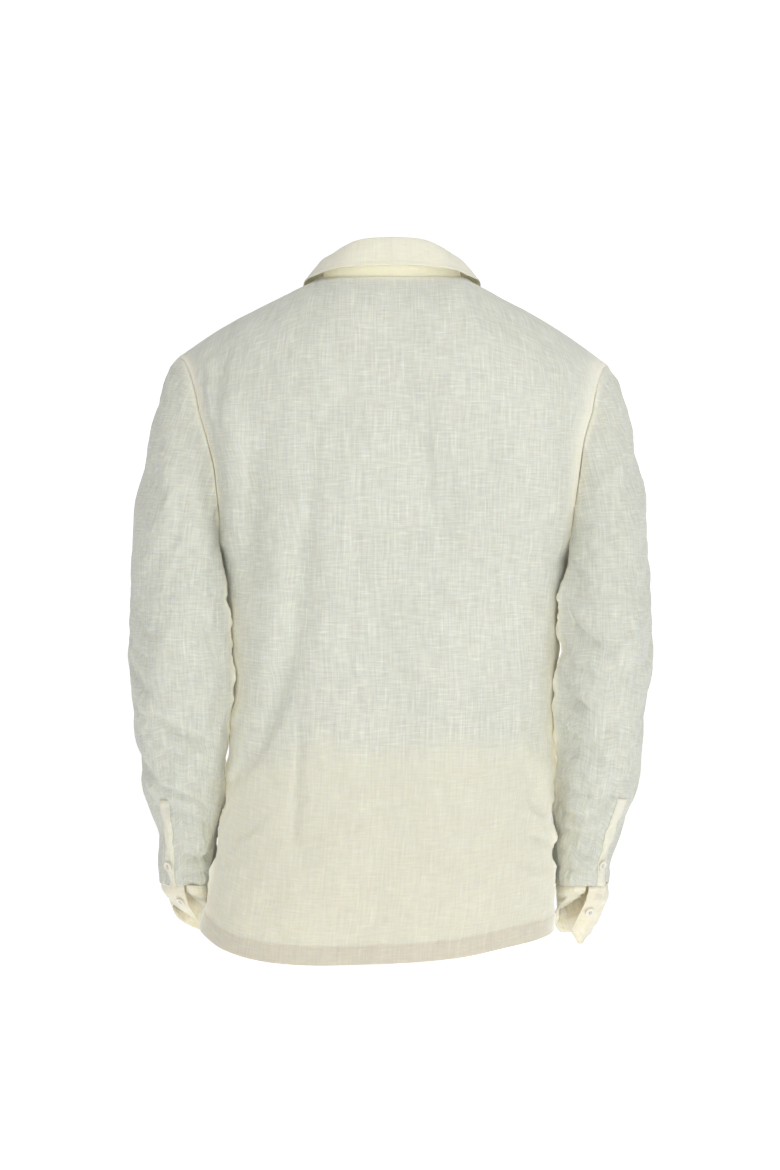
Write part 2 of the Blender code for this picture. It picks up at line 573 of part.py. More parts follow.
def add_front(cloth, doubled, shell):
    points, middle = front_grid()
    below = points[:, middle, 2] < NECK_FRONT_HEIGHT - SLIT_LENGTH
    cut = np.zeros((points.shape[0] - 1, points.shape[1] - 1), bool)
    cut[:, middle] = ~below[:-1]
    forward = np.array([0, -1.0, 0])
    add_cloth("front", points, CLOTH_WALL, cloth, forward, cut=cut)
    facing = facing_out(points, forward)
    start = int(np.flatnonzero(below)[-1]) - 1
    strip = points[start:, middle - 1 : middle + 3]
    strip_facing = facing[start:, middle - 1 : middle + 3]
    over = strip + strip_facing * (CLOTH_WALL + SKIN_GAP)
    add_cloth("front_placket", over, CLOTH_WALL, doubled, forward)
    under = strip - strip_facing * (CLOTH_WALL + SKIN_GAP)
    add_cloth("front_placket_under", under, CLOTH_WALL, doubled, forward)
    for number, height in enumerate(FRONT_BUTTON_HEIGHTS, 1):
        line = over[:, 1:3].mean(axis=1)
        place = [np.interp(height, line[:, 2], line[:, axis]) for axis in range(3)]
        way = [np.interp(height, line[:, 2], strip_facing[:, 1, axis]) for axis in range(3)]
        add_button(f"button_front_{number}", place, way, shell)


def add_sleeve(side, cloth, doubled, shell):
    sign = 1 if side == "left" else -1
    turn = np.array(ARMHOLE_ANGLES)
    turn = np.concatenate([turn, 360 - turn[-2:0:-1]])
    slit = int(np.flatnonzero(turn == SLEEVE_SLIT_ANGLE)[0])
    turn = np.concatenate([turn[slit:], turn[: slit + 1] + 360])
    downs = np.concatenate([SLEEVE_CAP_ROWS, 1 + SLEEVE_LOWER_ROWS])
    down, angle = np.meshgrid(downs, turn, indexing="ij")
    points = sleeve(side, angle, down)
    is_open = points[:, 0, 2] < SLEEVE_SLIT_TOP
    angle = angle.copy()
    angle[is_open, 0] += SLEEVE_SLIT_HALF_TURN
    angle[is_open, -1] -= SLEEVE_SLIT_HALF_TURN
    points = sleeve(side, angle, down)
    outward = points[len(points) // 2, len(turn) // 2] - points[len(points) // 2, 0]
    add_cloth(f"sleeve_{side}", points, CLOTH_WALL, cloth, outward, shut=np.flatnonzero(~is_open))

    rows = points[:, 0, 2] < SLEEVE_PLACKET_TOP
    backward = np.array([sign, 1.0, 0])
    strip = np.concatenate([points[rows, -2:], points[rows, :2]], axis=1)
    strip[:, 1] = sleeve(side, SLEEVE_SLIT_ANGLE - SLEEVE_SLIT_HALF_TURN, down[rows, 0])
    strip[:, 2] = sleeve(side, SLEEVE_SLIT_ANGLE + SLEEVE_SLIT_HALF_TURN, down[rows, 0])
    facing = facing_out(strip, backward)
    over = strip + facing * (CLOTH_WALL + SKIN_GAP)
    over[-1] += np.array([0, 0, SEAM_GAP])
    add_cloth(f"sleeve_placket_{side}", over, CLOTH_WALL, doubled, backward)
    place = over[SLEEVE_BUTTON_ROW, 1:3].mean(axis=0)
    add_button(f"button_sleeve_{side}", place, facing[SLEEVE_BUTTON_ROW, 1], shell)


def add_cuff(side, doubled, shell):
    turn = np.linspace(CUFF_OVERLAP_ANGLE, CUFF_OVERLAP_ANGLE - CUFF_TURN, CUFF_COLUMNS_ROUND)
    down, angle = np.meshgrid(np.linspace(0, 1, CUFF_ROWS), turn, indexing="ij")
    points = cuff(side, angle, down)
    outward = points[CUFF_ROWS // 2, CUFF_COLUMNS_ROUND // 2] - points.mean(axis=(0, 1))
    add_cloth(f"cuff_{side}", points, CLOTH_WALL, doubled, outward)
    facing = facing_out(points, outward)
    place = (CUFF_BUTTON_ROW, CUFF_BUTTON_COLUMN)
    add_button(f"button_cuff_{side}", points[place], facing[place], shell)


def add_collar(doubled):
    """The stand and the fall, with a column at each point of the neckline."""
    angles = np.concatenate([[0], np.arange(1, NECK_COLUMNS * 2) * 90 / NECK_COLUMNS, [COLLAR_END_ANGLE]])
    angles = np.concatenate([-angles[:0:-1], angles])
    up, angle = np.meshgrid(np.linspace(0, 1, STAND_ROWS), angles, indexing="ij")
    backward = np.array([0, 1.0, 0])
    add_cloth("collar_stand", collar_stand(angle, up), COLLAR_WALL, doubled, backward)
    down, angle = np.meshgrid(FALL_ROWS, angles, indexing="ij")
    add_cloth("collar_fall", collar_fall(angle, down), COLLAR_WALL, doubled, backward)


for old in list(bpy.data.objects):
    bpy.data.objects.remove(old, do_unlink=True)
SHIRT = bpy.data.collections.new("popover_shirt")
bpy.context.scene.collection.children.link(SHIRT)

CLOTH = make_material("slub_cloth", (0.74, 0.73, 0.66), 0.9)
DOUBLED_CLOTH = make_material("doubled_cloth", (0.80, 0.77, 0.66), 0.9)
SHELL = make_material("pale_shell", (0.72, 0.68, 0.60), 0.35)

up, across = np.meshgrid(PANEL_ROWS, ACROSS, indexing="ij")
add_cloth("back", panel(across, up, True), CLOTH_WALL, CLOTH, np.array([0, 1.0, 0]))
add_front(CLOTH, DOUBLED_CLOTH, SHELL)
for side in ("left", "right"):
    add_sleeve(side, CLOTH, DOUBLED_CLOTH, SHELL)
    add_cuff(side, DOUBLED_CLOTH, SHELL)
add_collar(DOUBLED_CLOTH)
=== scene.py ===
"""The finish of the popover shirt: each piece of cloth as a thin shell with its creases, seams and stitches.

+Z is up, the front faces -Y and the wearer's left is +X. Lengths are in metres. The shapes follow the
same named sizes and tables as the part's source, on finer grids and with the small forms added.
"""

import bpy
import math
import numpy as np
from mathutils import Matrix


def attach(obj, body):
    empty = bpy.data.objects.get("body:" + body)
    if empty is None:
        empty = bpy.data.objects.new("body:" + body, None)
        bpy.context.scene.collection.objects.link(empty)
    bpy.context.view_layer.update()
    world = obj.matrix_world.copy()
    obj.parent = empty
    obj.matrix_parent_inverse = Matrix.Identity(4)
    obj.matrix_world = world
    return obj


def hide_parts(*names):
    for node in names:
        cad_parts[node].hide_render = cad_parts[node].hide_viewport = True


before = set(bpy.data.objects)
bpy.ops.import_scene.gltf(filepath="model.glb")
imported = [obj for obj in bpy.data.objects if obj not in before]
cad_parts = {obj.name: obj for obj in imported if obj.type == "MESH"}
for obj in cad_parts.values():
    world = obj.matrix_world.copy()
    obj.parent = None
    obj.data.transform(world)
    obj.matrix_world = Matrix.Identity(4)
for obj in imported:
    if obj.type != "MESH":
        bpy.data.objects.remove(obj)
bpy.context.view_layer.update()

# The back.
# A real one is one width of slub cotton and linen, with no yoke, joined to the sleeves by felled seams and
# turned up in a deep hem. It is made here from rows of points between the hem and the shoulder seams.

CLOTH_THICKNESS = 0.0008
SEAM_GAP = 0.0002
ARMPIT_HEIGHT = -0.302
BLADE_HEIGHT = -0.140
NECK_HALF_WIDTH = 0.076
NECK_BACK_DEPTH = 0.058
NECK_FRONT_DEPTH = 0.086
NECK_POINT_HEIGHT = 0.008
NECK_BACK_HEIGHT = 0.004
NECK_FRONT_HEIGHT = -0.072
NECK_SHARE = 0.36
NECKLINE_POWER = 1.4
SHOULDER_SWELL = 0.006
SHOULDER_SWELL_POWER = 1.5
SHOULDER_NARROWING_POWER = 1.2
SECTION_POWER = 0.88
SIDE_SEAM_BLEND = 0.045
FOLD_FADE = 0.12
FOLD_END_POWER = 0.7
FOLD_SIDEWAYS = 0.25
FOLD_SIDEWAYS_FULL_AT = 0.15
FOLD_SLOPE_STEP = 0.004
SHOULDER_POINT = {"left": (0.2326, -0.0793), "right": (-0.2348, -0.0880)}

BODY_COLUMNS = ("height", "middle", "half_width", "back", "front", "side")
BODY = (
    (-0.760, 0.0180, 0.1925, 0.133, -0.113, 0.022),
    (-0.690, 0.0165, 0.1900, 0.130, -0.113, 0.020),
    (-0.650, 0.0105, 0.1865, 0.127, -0.114, 0.018),
    (-0.600, 0.0065, 0.1822, 0.121, -0.115, 0.014),
    (-0.560, 0.0027, 0.1784, 0.113, -0.117, 0.010),
    (-0.510, 0.0010, 0.1778, 0.102, -0.118, 0.006),
    (-0.470, 0.0000, 0.1770, 0.101, -0.119, 0.004),
    (-0.435, -0.0025, 0.1752, 0.103, -0.120, 0.003),
    (-0.400, -0.0020, 0.1780, 0.107, -0.121, 0.002),
    (-0.345, -0.0015, 0.1812, 0.114, -0.123, 0.001),
    (-0.302, 0.0000, 0.1860, 0.119, -0.125, 0.000),
    (-0.230, 0.0000, 0.1920, 0.124, -0.127, 0.000),
    (-0.170, 0.0000, 0.2050, 0.126, -0.125, 0.000),
    (-0.140, 0.0000, 0.2120, 0.125, -0.121, 0.000),
)
ARMHOLE_COLUMNS = ("height", "left", "right", "back", "front", "turn")
ARMHOLE = (
    (-0.302, 0.1860, 0.1900, 0.000, 0.000, 90.0),
    (-0.285, 0.1850, 0.1920, 0.026, -0.026, 84.0),
    (-0.255, 0.1850, 0.1945, 0.043, -0.043, 78.0),
    (-0.225, 0.1880, 0.1985, 0.052, -0.051, 73.0),
    (-0.198, 0.1910, 0.2020, 0.056, -0.054, 69.0),
    (-0.170, 0.1980, 0.2060, 0.057, -0.054, 65.0),
    (-0.140, 0.2070, 0.2150, 0.053, -0.051, 61.0),
)
HEM_COLUMNS = ("across", "back", "front")
HEM = (
    (-1.00, -0.6980, -0.6980),
    (-0.75, -0.7030, -0.7020),
    (-0.465, -0.7110, -0.7080),
    (-0.30, -0.7180, -0.7130),
    (0.00, -0.7250, -0.7160),
    (0.25, -0.7265, -0.7150),
    (0.41, -0.7234, -0.7120),
    (0.62, -0.7137, -0.7060),
    (0.80, -0.7020, -0.6990),
    (1.00, -0.6935, -0.6935),
)
# The main folds, each through four places. A depth under zero is a ridge.
FOLD_COLUMNS = ("x0", "z0", "x1", "z1", "x2", "z2", "x3", "z3", "width", "depth")
BACK_FOLDS = (
    (0.137, -0.155, 0.145, -0.215, 0.151, -0.265, 0.157, -0.345, 0.0125, 0.0085),
    (0.172, -0.110, 0.172, -0.170, 0.170, -0.225, 0.167, -0.290, 0.0140, -0.0075),
    (0.084, -0.160, 0.093, -0.310, 0.113, -0.430, 0.168, -0.550, 0.0150, 0.0090),
    (0.120, -0.240, 0.124, -0.340, 0.142, -0.430, 0.166, -0.480, 0.0170, -0.0055),
    (0.097, -0.450, 0.100, -0.500, 0.103, -0.560, 0.108, -0.630, 0.0090, 0.0040),
    (-0.018, -0.110, -0.020, -0.160, -0.024, -0.210, -0.026, -0.270, 0.0200, 0.0035),
    (-0.042, -0.200, -0.044, -0.260, -0.044, -0.330, -0.040, -0.400, 0.0170, 0.0035),
    (-0.118, -0.220, -0.120, -0.290, -0.122, -0.360, -0.116, -0.440, 0.0170, 0.0045),
    (-0.148, -0.420, -0.154, -0.480, -0.154, -0.540, -0.146, -0.610, 0.0150, 0.0065),
)
# Smaller creases, each a curve through three places. Beside its trough runs a ridge, on the side that
# the lip tells: 1 to the left of its way down, -1 to the right.
CREASE_COLUMNS = ("x0", "z0", "x1", "z1", "x2", "z2", "width", "depth", "lip")
BACK_CREASES = (
    (0.152, -0.175, 0.149, -0.215, 0.153, -0.290, 0.0045, 0.0030, 1),
    (0.186, -0.080, 0.188, -0.115, 0.184, -0.158, 0.0040, 0.0022, 1),
    (0.176, -0.070, 0.181, -0.095, 0.180, -0.130, 0.0050, 0.0016, -1),
    (0.200, -0.090, 0.203, -0.112, 0.200, -0.140, 0.0030, 0.0010, 1),
    (0.085, -0.205, 0.092, -0.285, 0.103, -0.390, 0.0060, 0.0026, 1),
    (0.103, -0.390, 0.126, -0.470, 0.165, -0.535, 0.0055, 0.0028, -1),
    (0.150, -0.500, 0.163, -0.522, 0.177, -0.545, 0.0035, 0.0024, 1),
    (0.158, -0.470, 0.166, -0.478, 0.176, -0.480, 0.0040, 0.0016, 1),
    (0.140, -0.570, 0.152, -0.585, 0.172, -0.590, 0.0060, 0.0018, -1),
    (0.152, -0.610, 0.166, -0.622, 0.180, -0.620, 0.0060, 0.0014, 1),
    (0.098, -0.470, 0.101, -0.530, 0.106, -0.600, 0.0032, 0.0015, 1),
    (0.060, -0.160, 0.058, -0.220, 0.060, -0.300, 0.0080, 0.0010, -1),
    (0.036, -0.230, 0.040, -0.320, 0.052, -0.420, 0.0080, 0.0010, 1),
    (0.014, -0.110, 0.012, -0.190, 0.016, -0.280, 0.0080, 0.0009, 1),
    (-0.034, -0.130, -0.036, -0.190, -0.040, -0.260, 0.0070, 0.0011, -1),
    (-0.056, -0.190, -0.060, -0.260, -0.056, -0.330, 0.0075, 0.0013, 1),
    (-0.098, -0.180, -0.102, -0.250, -0.104, -0.320, 0.0070, 0.0014, -1),
    (-0.116, -0.270, -0.120, -0.340, -0.124, -0.420, 0.0070, 0.0013, 1),
    (-0.150, -0.250, -0.152, -0.310, -0.158, -0.360, 0.0060, 0.0010, 1),
    (-0.136, -0.440, -0.146, -0.480, -0.158, -0.500, 0.0070, 0.0018, 1),
    (-0.120, -0.400, -0.126, -0.470, -0.142, -0.540, 0.0080, 0.0020, -1),
    (-0.146, -0.555, -0.156, -0.568, -0.170, -0.570, 0.0035, 0.0030, 1),
    (-0.150, -0.590, -0.158, -0.598, -0.172, -0.600, 0.0040, 0.0032, -1),
    (-0.140, -0.620, -0.152, -0.628, -0.168, -0.622, 0.0050, 0.0018, 1),
    (-0.030, -0.500, 0.010, -0.512, 0.060, -0.505, 0.0120, 0.0010, 1),
    (-0.110, -0.520, -0.070, -0.500, -0.030, -0.470, 0.0110, 0.0011, -1),
    (0.000, -0.560, 0.040, -0.580, 0.085, -0.582, 0.0120, 0.0010, 1),
    (-0.090, -0.600, -0.050, -0.612, 0.000, -0.606, 0.0120, 0.0008, -1),
)
CREASE_STEPS = 14
CREASE_DEPTH = 1.6
CREASE_REACH = 3.2
LIP_SHARE = 0.55
LIP_PLACE = 1.7

# Felled seams and the hem: how wide each turned band is, how much it stands up, and its stitch lines
FELL_WIDTH = 0.0085
FELL_RISE = 0.0006
HEM_WIDTH = 0.0205
HEM_RISE = 0.0004
STITCH_INSET = 0.0014
HEM_STITCH = HEM_WIDTH - STITCH_INSET
GROOVE_WIDTH = 0.0013
GROOVE_DEPTH = 0.0005
PUCKER_LENGTH = 0.0068
PUCKER_HEIGHT = 0.00030
PUCKER_REACH = 0.0060
PUCKER_SWELL = 0.047
PUCKER_DRIFT = 0.031
PUCKER_UNEVENNESS = 0.4
PUCKER_DRIFT_TURN = 1.9
# Rumples: size and depth
RUMPLE = ((0.060, 0.00110), (0.027, 0.00065), (0.013, 0.00026))
RUMPLE_WAYS = 6
RUMPLE_TURN = 2.4
RUMPLE_SHORTEST = 0.75
RUMPLE_LONGER = 0.13
RUMPLE_PHASE = 1.7
# Waves down a side seam: length, depth and phase
SIDE_WAVES = ((0.058, 0.0011, 0.7), (0.026, 0.0008, 2.9), (0.014, 0.0004, 1.3))
SIDE_WAVE_TOP = -0.335
SIDE_WAVE_FADE = 0.03
SIDE_WAVE_REACH = 0.016
EDGE_CALM = 0.02
EDGE_STILL = 0.004
HEM_CALM = 0.012
HEM_CALM_LEAST = 0.15
SHOULDER_CALM = 0.25
FELL_SHARE = 0.8
FELL_START = 0.001
SIDE_DENT_COLUMNS = ("height", "depth", "size")
SIDE_DENTS = {
    "left": ((-0.610, 0.0040, 0.012), (-0.636, -0.0030, 0.010), (-0.500, 0.0025, 0.016)),
    "right": ((-0.574, 0.0060, 0.010), (-0.597, -0.0045, 0.009), (-0.618, 0.0035, 0.010)),
}
BACK_SEED = 0.4
BACK_ROWS = (96, 46, 30)
BACK_MIDDLE_COLUMNS = 124
FIRST_READING = 601
EDGE_COLUMNS = (0.0, 0.0008, 0.0014, 0.0020, 0.0034, 0.0050, 0.0064, 0.0071, 0.0078, 0.0086, 0.0094, 0.0110)
HEM_ROWS = (0.0, 0.0006, 0.0014, 0.0050, 0.0090, 0.0130, 0.0165, 0.0184, 0.0192, 0.0199, 0.0207, 0.0216)


def column(names, table, name, at):
    """A column of a table read at any place, on a smooth curve through its rows (cubic Hermite)."""
    rows = np.array(table)
    places = rows[:, 0]
    values = rows[:, names.index(name)]
    slopes = np.gradient(values, places)
    at = np.clip(at, places[0], places[-1])
    low = np.clip(np.searchsorted(places, at, side="right") - 1, 0, len(places) - 2)
    span = places[low + 1] - places[low]
    t = (at - places[low]) / span
    return hermite(t, values[low], span * slopes[low], values[low + 1], span * slopes[low + 1])


def hermite(t, start, leave, end, arrive):
    """A cubic curve: for t from 0 to 1 it leaves start along leave, and reaches end along arrive."""
    first = (2 * t**3 - 3 * t**2 + 1) * start + (t**3 - 2 * t**2 + t) * leave
    return first + (3 * t**2 - 2 * t**3) * end + (t**3 - t**2) * arrive


def sine(degrees):
    """The sine of an angle in degrees."""
    return np.sin(np.radians(degrees))


def cosine(degrees):
    """The cosine of an angle in degrees."""
    return np.cos(np.radians(degrees))


def section(across, height, is_back):
    """A level section of the body: a flattened ellipse between the side edges, across from -1 to 1."""
    share = np.abs(across)
    is_left = across >= 0
    depth = column(BODY_COLUMNS, BODY, "back" if is_back else "front", height)
    middle = column(BODY_COLUMNS, BODY, "middle", height)
    low_x = column(BODY_COLUMNS, BODY, "half_width", height)
    low_y = column(BODY_COLUMNS, BODY, "side", height)
    left = column(ARMHOLE_COLUMNS, ARMHOLE, "left", height)
    right = column(ARMHOLE_COLUMNS, ARMHOLE, "right", height)
    above = height > ARMPIT_HEIGHT
    blend = np.clip((height - ARMPIT_HEIGHT + SIDE_SEAM_BLEND) / SIDE_SEAM_BLEND, 0, 1)
    armpit_x = np.where(is_left, ARMHOLE[0][1], ARMHOLE[0][2])
    low_x = low_x + (armpit_x - column(BODY_COLUMNS, BODY, "half_width", ARMPIT_HEIGHT)) * blend
    edge_x = np.where(above, np.where(is_left, left, right), low_x)
    armhole_y = column(ARMHOLE_COLUMNS, ARMHOLE, "back" if is_back else "front", height)
    edge_y = np.where(above, armhole_y, low_y) + (SEAM_GAP / 2 if is_back else -SEAM_GAP / 2)
    turn = np.where(above, column(ARMHOLE_COLUMNS, ARMHOLE, "turn", height), 90.0)
    out = (sine(share * turn) / sine(turn)) ** SECTION_POWER
    rise = 1 - (1 - cosine(share * turn)) / (1 - cosine(turn))
    x = middle + np.sign(across) * edge_x * out
    y = edge_y + (depth - edge_y) * np.maximum(rise, 0) ** SECTION_POWER
    return np.stack([x, y, height + 0 * x], axis=-1)


def top_edge(across, is_back):
    """The upper edge of a panel: half an ellipse round the neck, then shoulder seams with a small swell."""
    share = np.abs(across)
    turn = 90 * np.minimum(share / NECK_SHARE, 1)
    depth = NECK_BACK_DEPTH if is_back else -NECK_FRONT_DEPTH
    middle_height = NECK_BACK_HEIGHT if is_back else NECK_FRONT_HEIGHT
    neck_z = NECK_POINT_HEIGHT + (middle_height - NECK_POINT_HEIGHT) * cosine(turn) ** NECKLINE_POWER
    along = np.clip((share - NECK_SHARE) / (1 - NECK_SHARE), 0, 1)
    tip_x = np.where(across >= 0, SHOULDER_POINT["left"][0], -SHOULDER_POINT["right"][0])
    tip_z = np.where(across >= 0, SHOULDER_POINT["left"][1], SHOULDER_POINT["right"][1])
    x = np.sign(across) * (NECK_HALF_WIDTH * sine(turn) + (tip_x - NECK_HALF_WIDTH) * along)
    swell = SHOULDER_SWELL * np.sin(math.pi * along**SHOULDER_SWELL_POWER)
    z = neck_z + (tip_z - NECK_POINT_HEIGHT) * along + swell
    y = depth * cosine(turn) + (SEAM_GAP / 2 if is_back else -SEAM_GAP / 2)
    return np.stack([x, y, z], axis=-1)


def fold_push(points, folds, is_back):
    """How far the main folds move each point: a bell-shaped trough across each fold's smooth path."""
    x = points[..., 0]
    z = points[..., 2]
    push = np.zeros_like(x)
    for row in folds:
        fold = dict(zip(FOLD_COLUMNS, row))
        path = sorted((fold[f"z{i}"], fold[f"x{i}"]) for i in range(4))
        centre = column(("z", "x"), path, "x", z)
        below = column(("z", "x"), path, "x", z - FOLD_SLOPE_STEP)
        slope = (centre - below) / FOLD_SLOPE_STEP
        distance = (x - centre) / np.sqrt(1 + slope**2) / fold["width"]
        share = np.clip((z - path[0][0]) / (path[3][0] - path[0][0]), 0, 1)
        push += fold["depth"] * np.exp(-(distance**2)) * np.sin(math.pi * share) ** FOLD_END_POWER
    sideways = FOLD_SIDEWAYS * np.clip(x / FOLD_SIDEWAYS_FULL_AT, -1, 1)
    out = np.stack([sideways, (1 if is_back else -1) + 0 * x, 0 * x], axis=-1)
    return -out * push[..., None]


def panel(across, up, is_back, folds):
    """A point of the back or front. Up is 0 at the hem, 1 at the armpits, 2 at the blades, 3 at the top."""
    across, up = np.broadcast_arrays(np.asarray(across, float), np.asarray(up, float))
    hem = column(HEM_COLUMNS, HEM, "back" if is_back else "front", across)
    height = hem + (ARMPIT_HEIGHT - hem) * np.clip(up, 0, 1)
    height = height + (BLADE_HEIGHT - ARMPIT_HEIGHT) * np.clip(up - 1, 0, 1)
    lower = section(across, height, is_back)
    top = top_edge(across, is_back)
    turn = 90 * np.clip(up - 2, 0, 1)
    x = lower[..., 0] + (top[..., 0] - lower[..., 0]) * (turn / 90) ** SHOULDER_NARROWING_POWER
    y = top[..., 1] + (lower[..., 1] - top[..., 1]) * cosine(turn)
    z = lower[..., 2] + (top[..., 2] - lower[..., 2]) * sine(turn)
    points = np.stack([x, y, z], axis=-1)
    fade = np.clip((1 - np.abs(across)) / FOLD_FADE, 0, 1)[..., None]
    return points + fold_push(points, folds, is_back) * fade


def crease_push(across, along, creases, scale=1.0):
    """The height added by creases: for each, a trough along a curve through its three places, and a lip.

    Across and along are the cloth's own coordinates. Scale turns a length across into metres.
    """
    height = np.zeros(np.broadcast(across, along).shape)
    across = across + 0 * height
    along = along + 0 * height
    scale = scale + 0 * height
    for row in creases:
        crease = dict(zip(CREASE_COLUMNS, row))
        t = np.linspace(0, 1, CREASE_STEPS)
        ends = (1 - t) * (1 - 2 * t), 4 * t * (1 - t), t * (2 * t - 1)
        path_a = sum(end * crease[f"x{i}"] for i, end in enumerate(ends))
        path_b = sum(end * crease[f"z{i}"] for i, end in enumerate(ends))
        reach = CREASE_REACH * crease["width"]
        near = (along > path_b.min() - reach) & (along < path_b.max() + reach)
        near &= ((across - path_a.max()) * scale < reach) & ((path_a.min() - across) * scale < reach)
        if not near.any():
            continue
        a = across[near][:, None]
        b = along[near][:, None]
        s = scale[near][:, None]
        run_a = np.diff(path_a) * s
        run_b = np.diff(path_b)
        from_a = (a - path_a[:-1]) * s
        from_b = b - path_b[:-1]
        share = np.clip((from_a * run_a + from_b * run_b) / (run_a**2 + run_b**2), 0, 1)
        off_a = from_a - share * run_a
        off_b = from_b - share * run_b
        gap = np.hypot(off_a, off_b)
        nearest = gap.argmin(axis=1)
        pick = np.arange(len(nearest))
        place = (nearest + share[pick, nearest]) / (CREASE_STEPS - 1)
        side = np.sign(run_a * off_b - run_b * off_a)[pick, nearest]
        d = gap[pick, nearest] / crease["width"]
        trough = -np.exp(-(d**2))
        lip = np.exp(-((d - LIP_PLACE) ** 2)) * (side * crease["lip"] > 0) * LIP_SHARE
        lip *= 1 - np.exp(-(d**2))
        height[near] += crease["depth"] * (trough + lip) * np.sin(math.pi * place) ** FOLD_END_POWER
    return height


def rumple(a, b, seed):
    """The soft unevenness of worn linen: three sizes of crossed sine waves that never repeat together."""
    height = 0
    for size, depth in RUMPLE:
        for k in range(1, RUMPLE_WAYS + 1):
            way = seed + RUMPLE_TURN * k
            along = a * math.cos(way) + b * math.sin(way)
            length = size * (RUMPLE_SHORTEST + RUMPLE_LONGER * k)
            turn = 2 * math.pi * along / length + RUMPLE_PHASE * k * k + seed
            height = height + depth / 3 * np.sin(turn)
    return height


def waver(s, seed):
    """A line of small puckers along a seam, uneven in length and height."""
    swell = np.sin(2 * math.pi * s / PUCKER_SWELL + seed)
    slow = 1 - PUCKER_UNEVENNESS + PUCKER_UNEVENNESS * swell
    drift = PUCKER_DRIFT_TURN * np.sin(2 * math.pi * s / PUCKER_DRIFT + seed)
    return slow * np.sin(2 * math.pi * s / PUCKER_LENGTH + drift)


def normals(points):
    """Unit normals of a grid of points, from the way its neighbours lie."""
    normal = np.cross(np.gradient(points, axis=0), np.gradient(points, axis=1))
    return normal / np.maximum(np.linalg.norm(normal, axis=-1, keepdims=True), 1e-12)


def facing_out(points, outward):
    """Unit normals of a grid, turned so that the middle one faces outward."""
    facing = normals(points)
    middle = facing[facing.shape[0] // 2, facing.shape[1] // 2]
    return facing if np.dot(middle, outward) > 0 else -facing


def lengths(points, axis):
    """How far each grid point lies along its row or column, measured on the cloth."""
    step = np.linalg.norm(np.diff(points, axis=axis), axis=-1)
    total = np.cumsum(step, axis=axis)
    first = np.zeros_like(np.take(total, [0], axis=axis))
    return np.concatenate([first, total], axis=axis)


# Threads and crumples of the cloth, as noise: how often across and along in a metre, how detailed, and the
# values between which it goes from 0 to 1
NOISE_COLUMNS = ("across", "along", "detail", "low", "high")
NOISE = {
    "weft": (48.0, 560.0, 2.0, 0.30, 0.70),
    "warp": (540.0, 30.0, 2.0, 0.30, 0.70),
    "weft_slub": (52.0, 360.0, 1.0, 0.58, 0.80),
    "warp_slub": (360.0, 26.0, 1.0, 0.58, 0.80),
    "patch": (11.0, 7.0, 3.0, 0.32, 0.68),
    "small_crumple": (120.0, 90.0, 2.0, 0.25, 0.75),
    "large_crumple": (48.0, 40.0, 1.0, 0.25, 0.75),
}
FINE_SHARE = 0.38
SLUB_SHARE = 0.32
PATCH_COLOUR = (0.950, 0.957, 0.956)
THREAD_HEIGHT = 0.0005
# Painted light: the colour that the cloth turns to where light is painted in, and how strongly that light is
# given off as emission
PAINTED_LIGHT_COLOUR = (0.965, 0.925, 0.765)
PAINTED_EMISSION_SHARE = 0.15
PAINTED_EMISSION_POWER = 4.0
# The lower back's painted light: below the waist, on an uneven line, the cloth is painted plainer and
# warmer, standing in for the trousers' light seen through the thin cloth. The heights between which it comes
# in, the size and swing of the line's waves, how much plainer, and the plain colour's tone
LOW_TONE_HEIGHTS = (-0.490, -0.545)
LOW_TONE_WAVE = 5.5
LOW_TONE_SWING = 0.22
PLAIN_SHARE = 0.45
PLAIN_TONE = 0.945
PALE_THREADS = 0.6


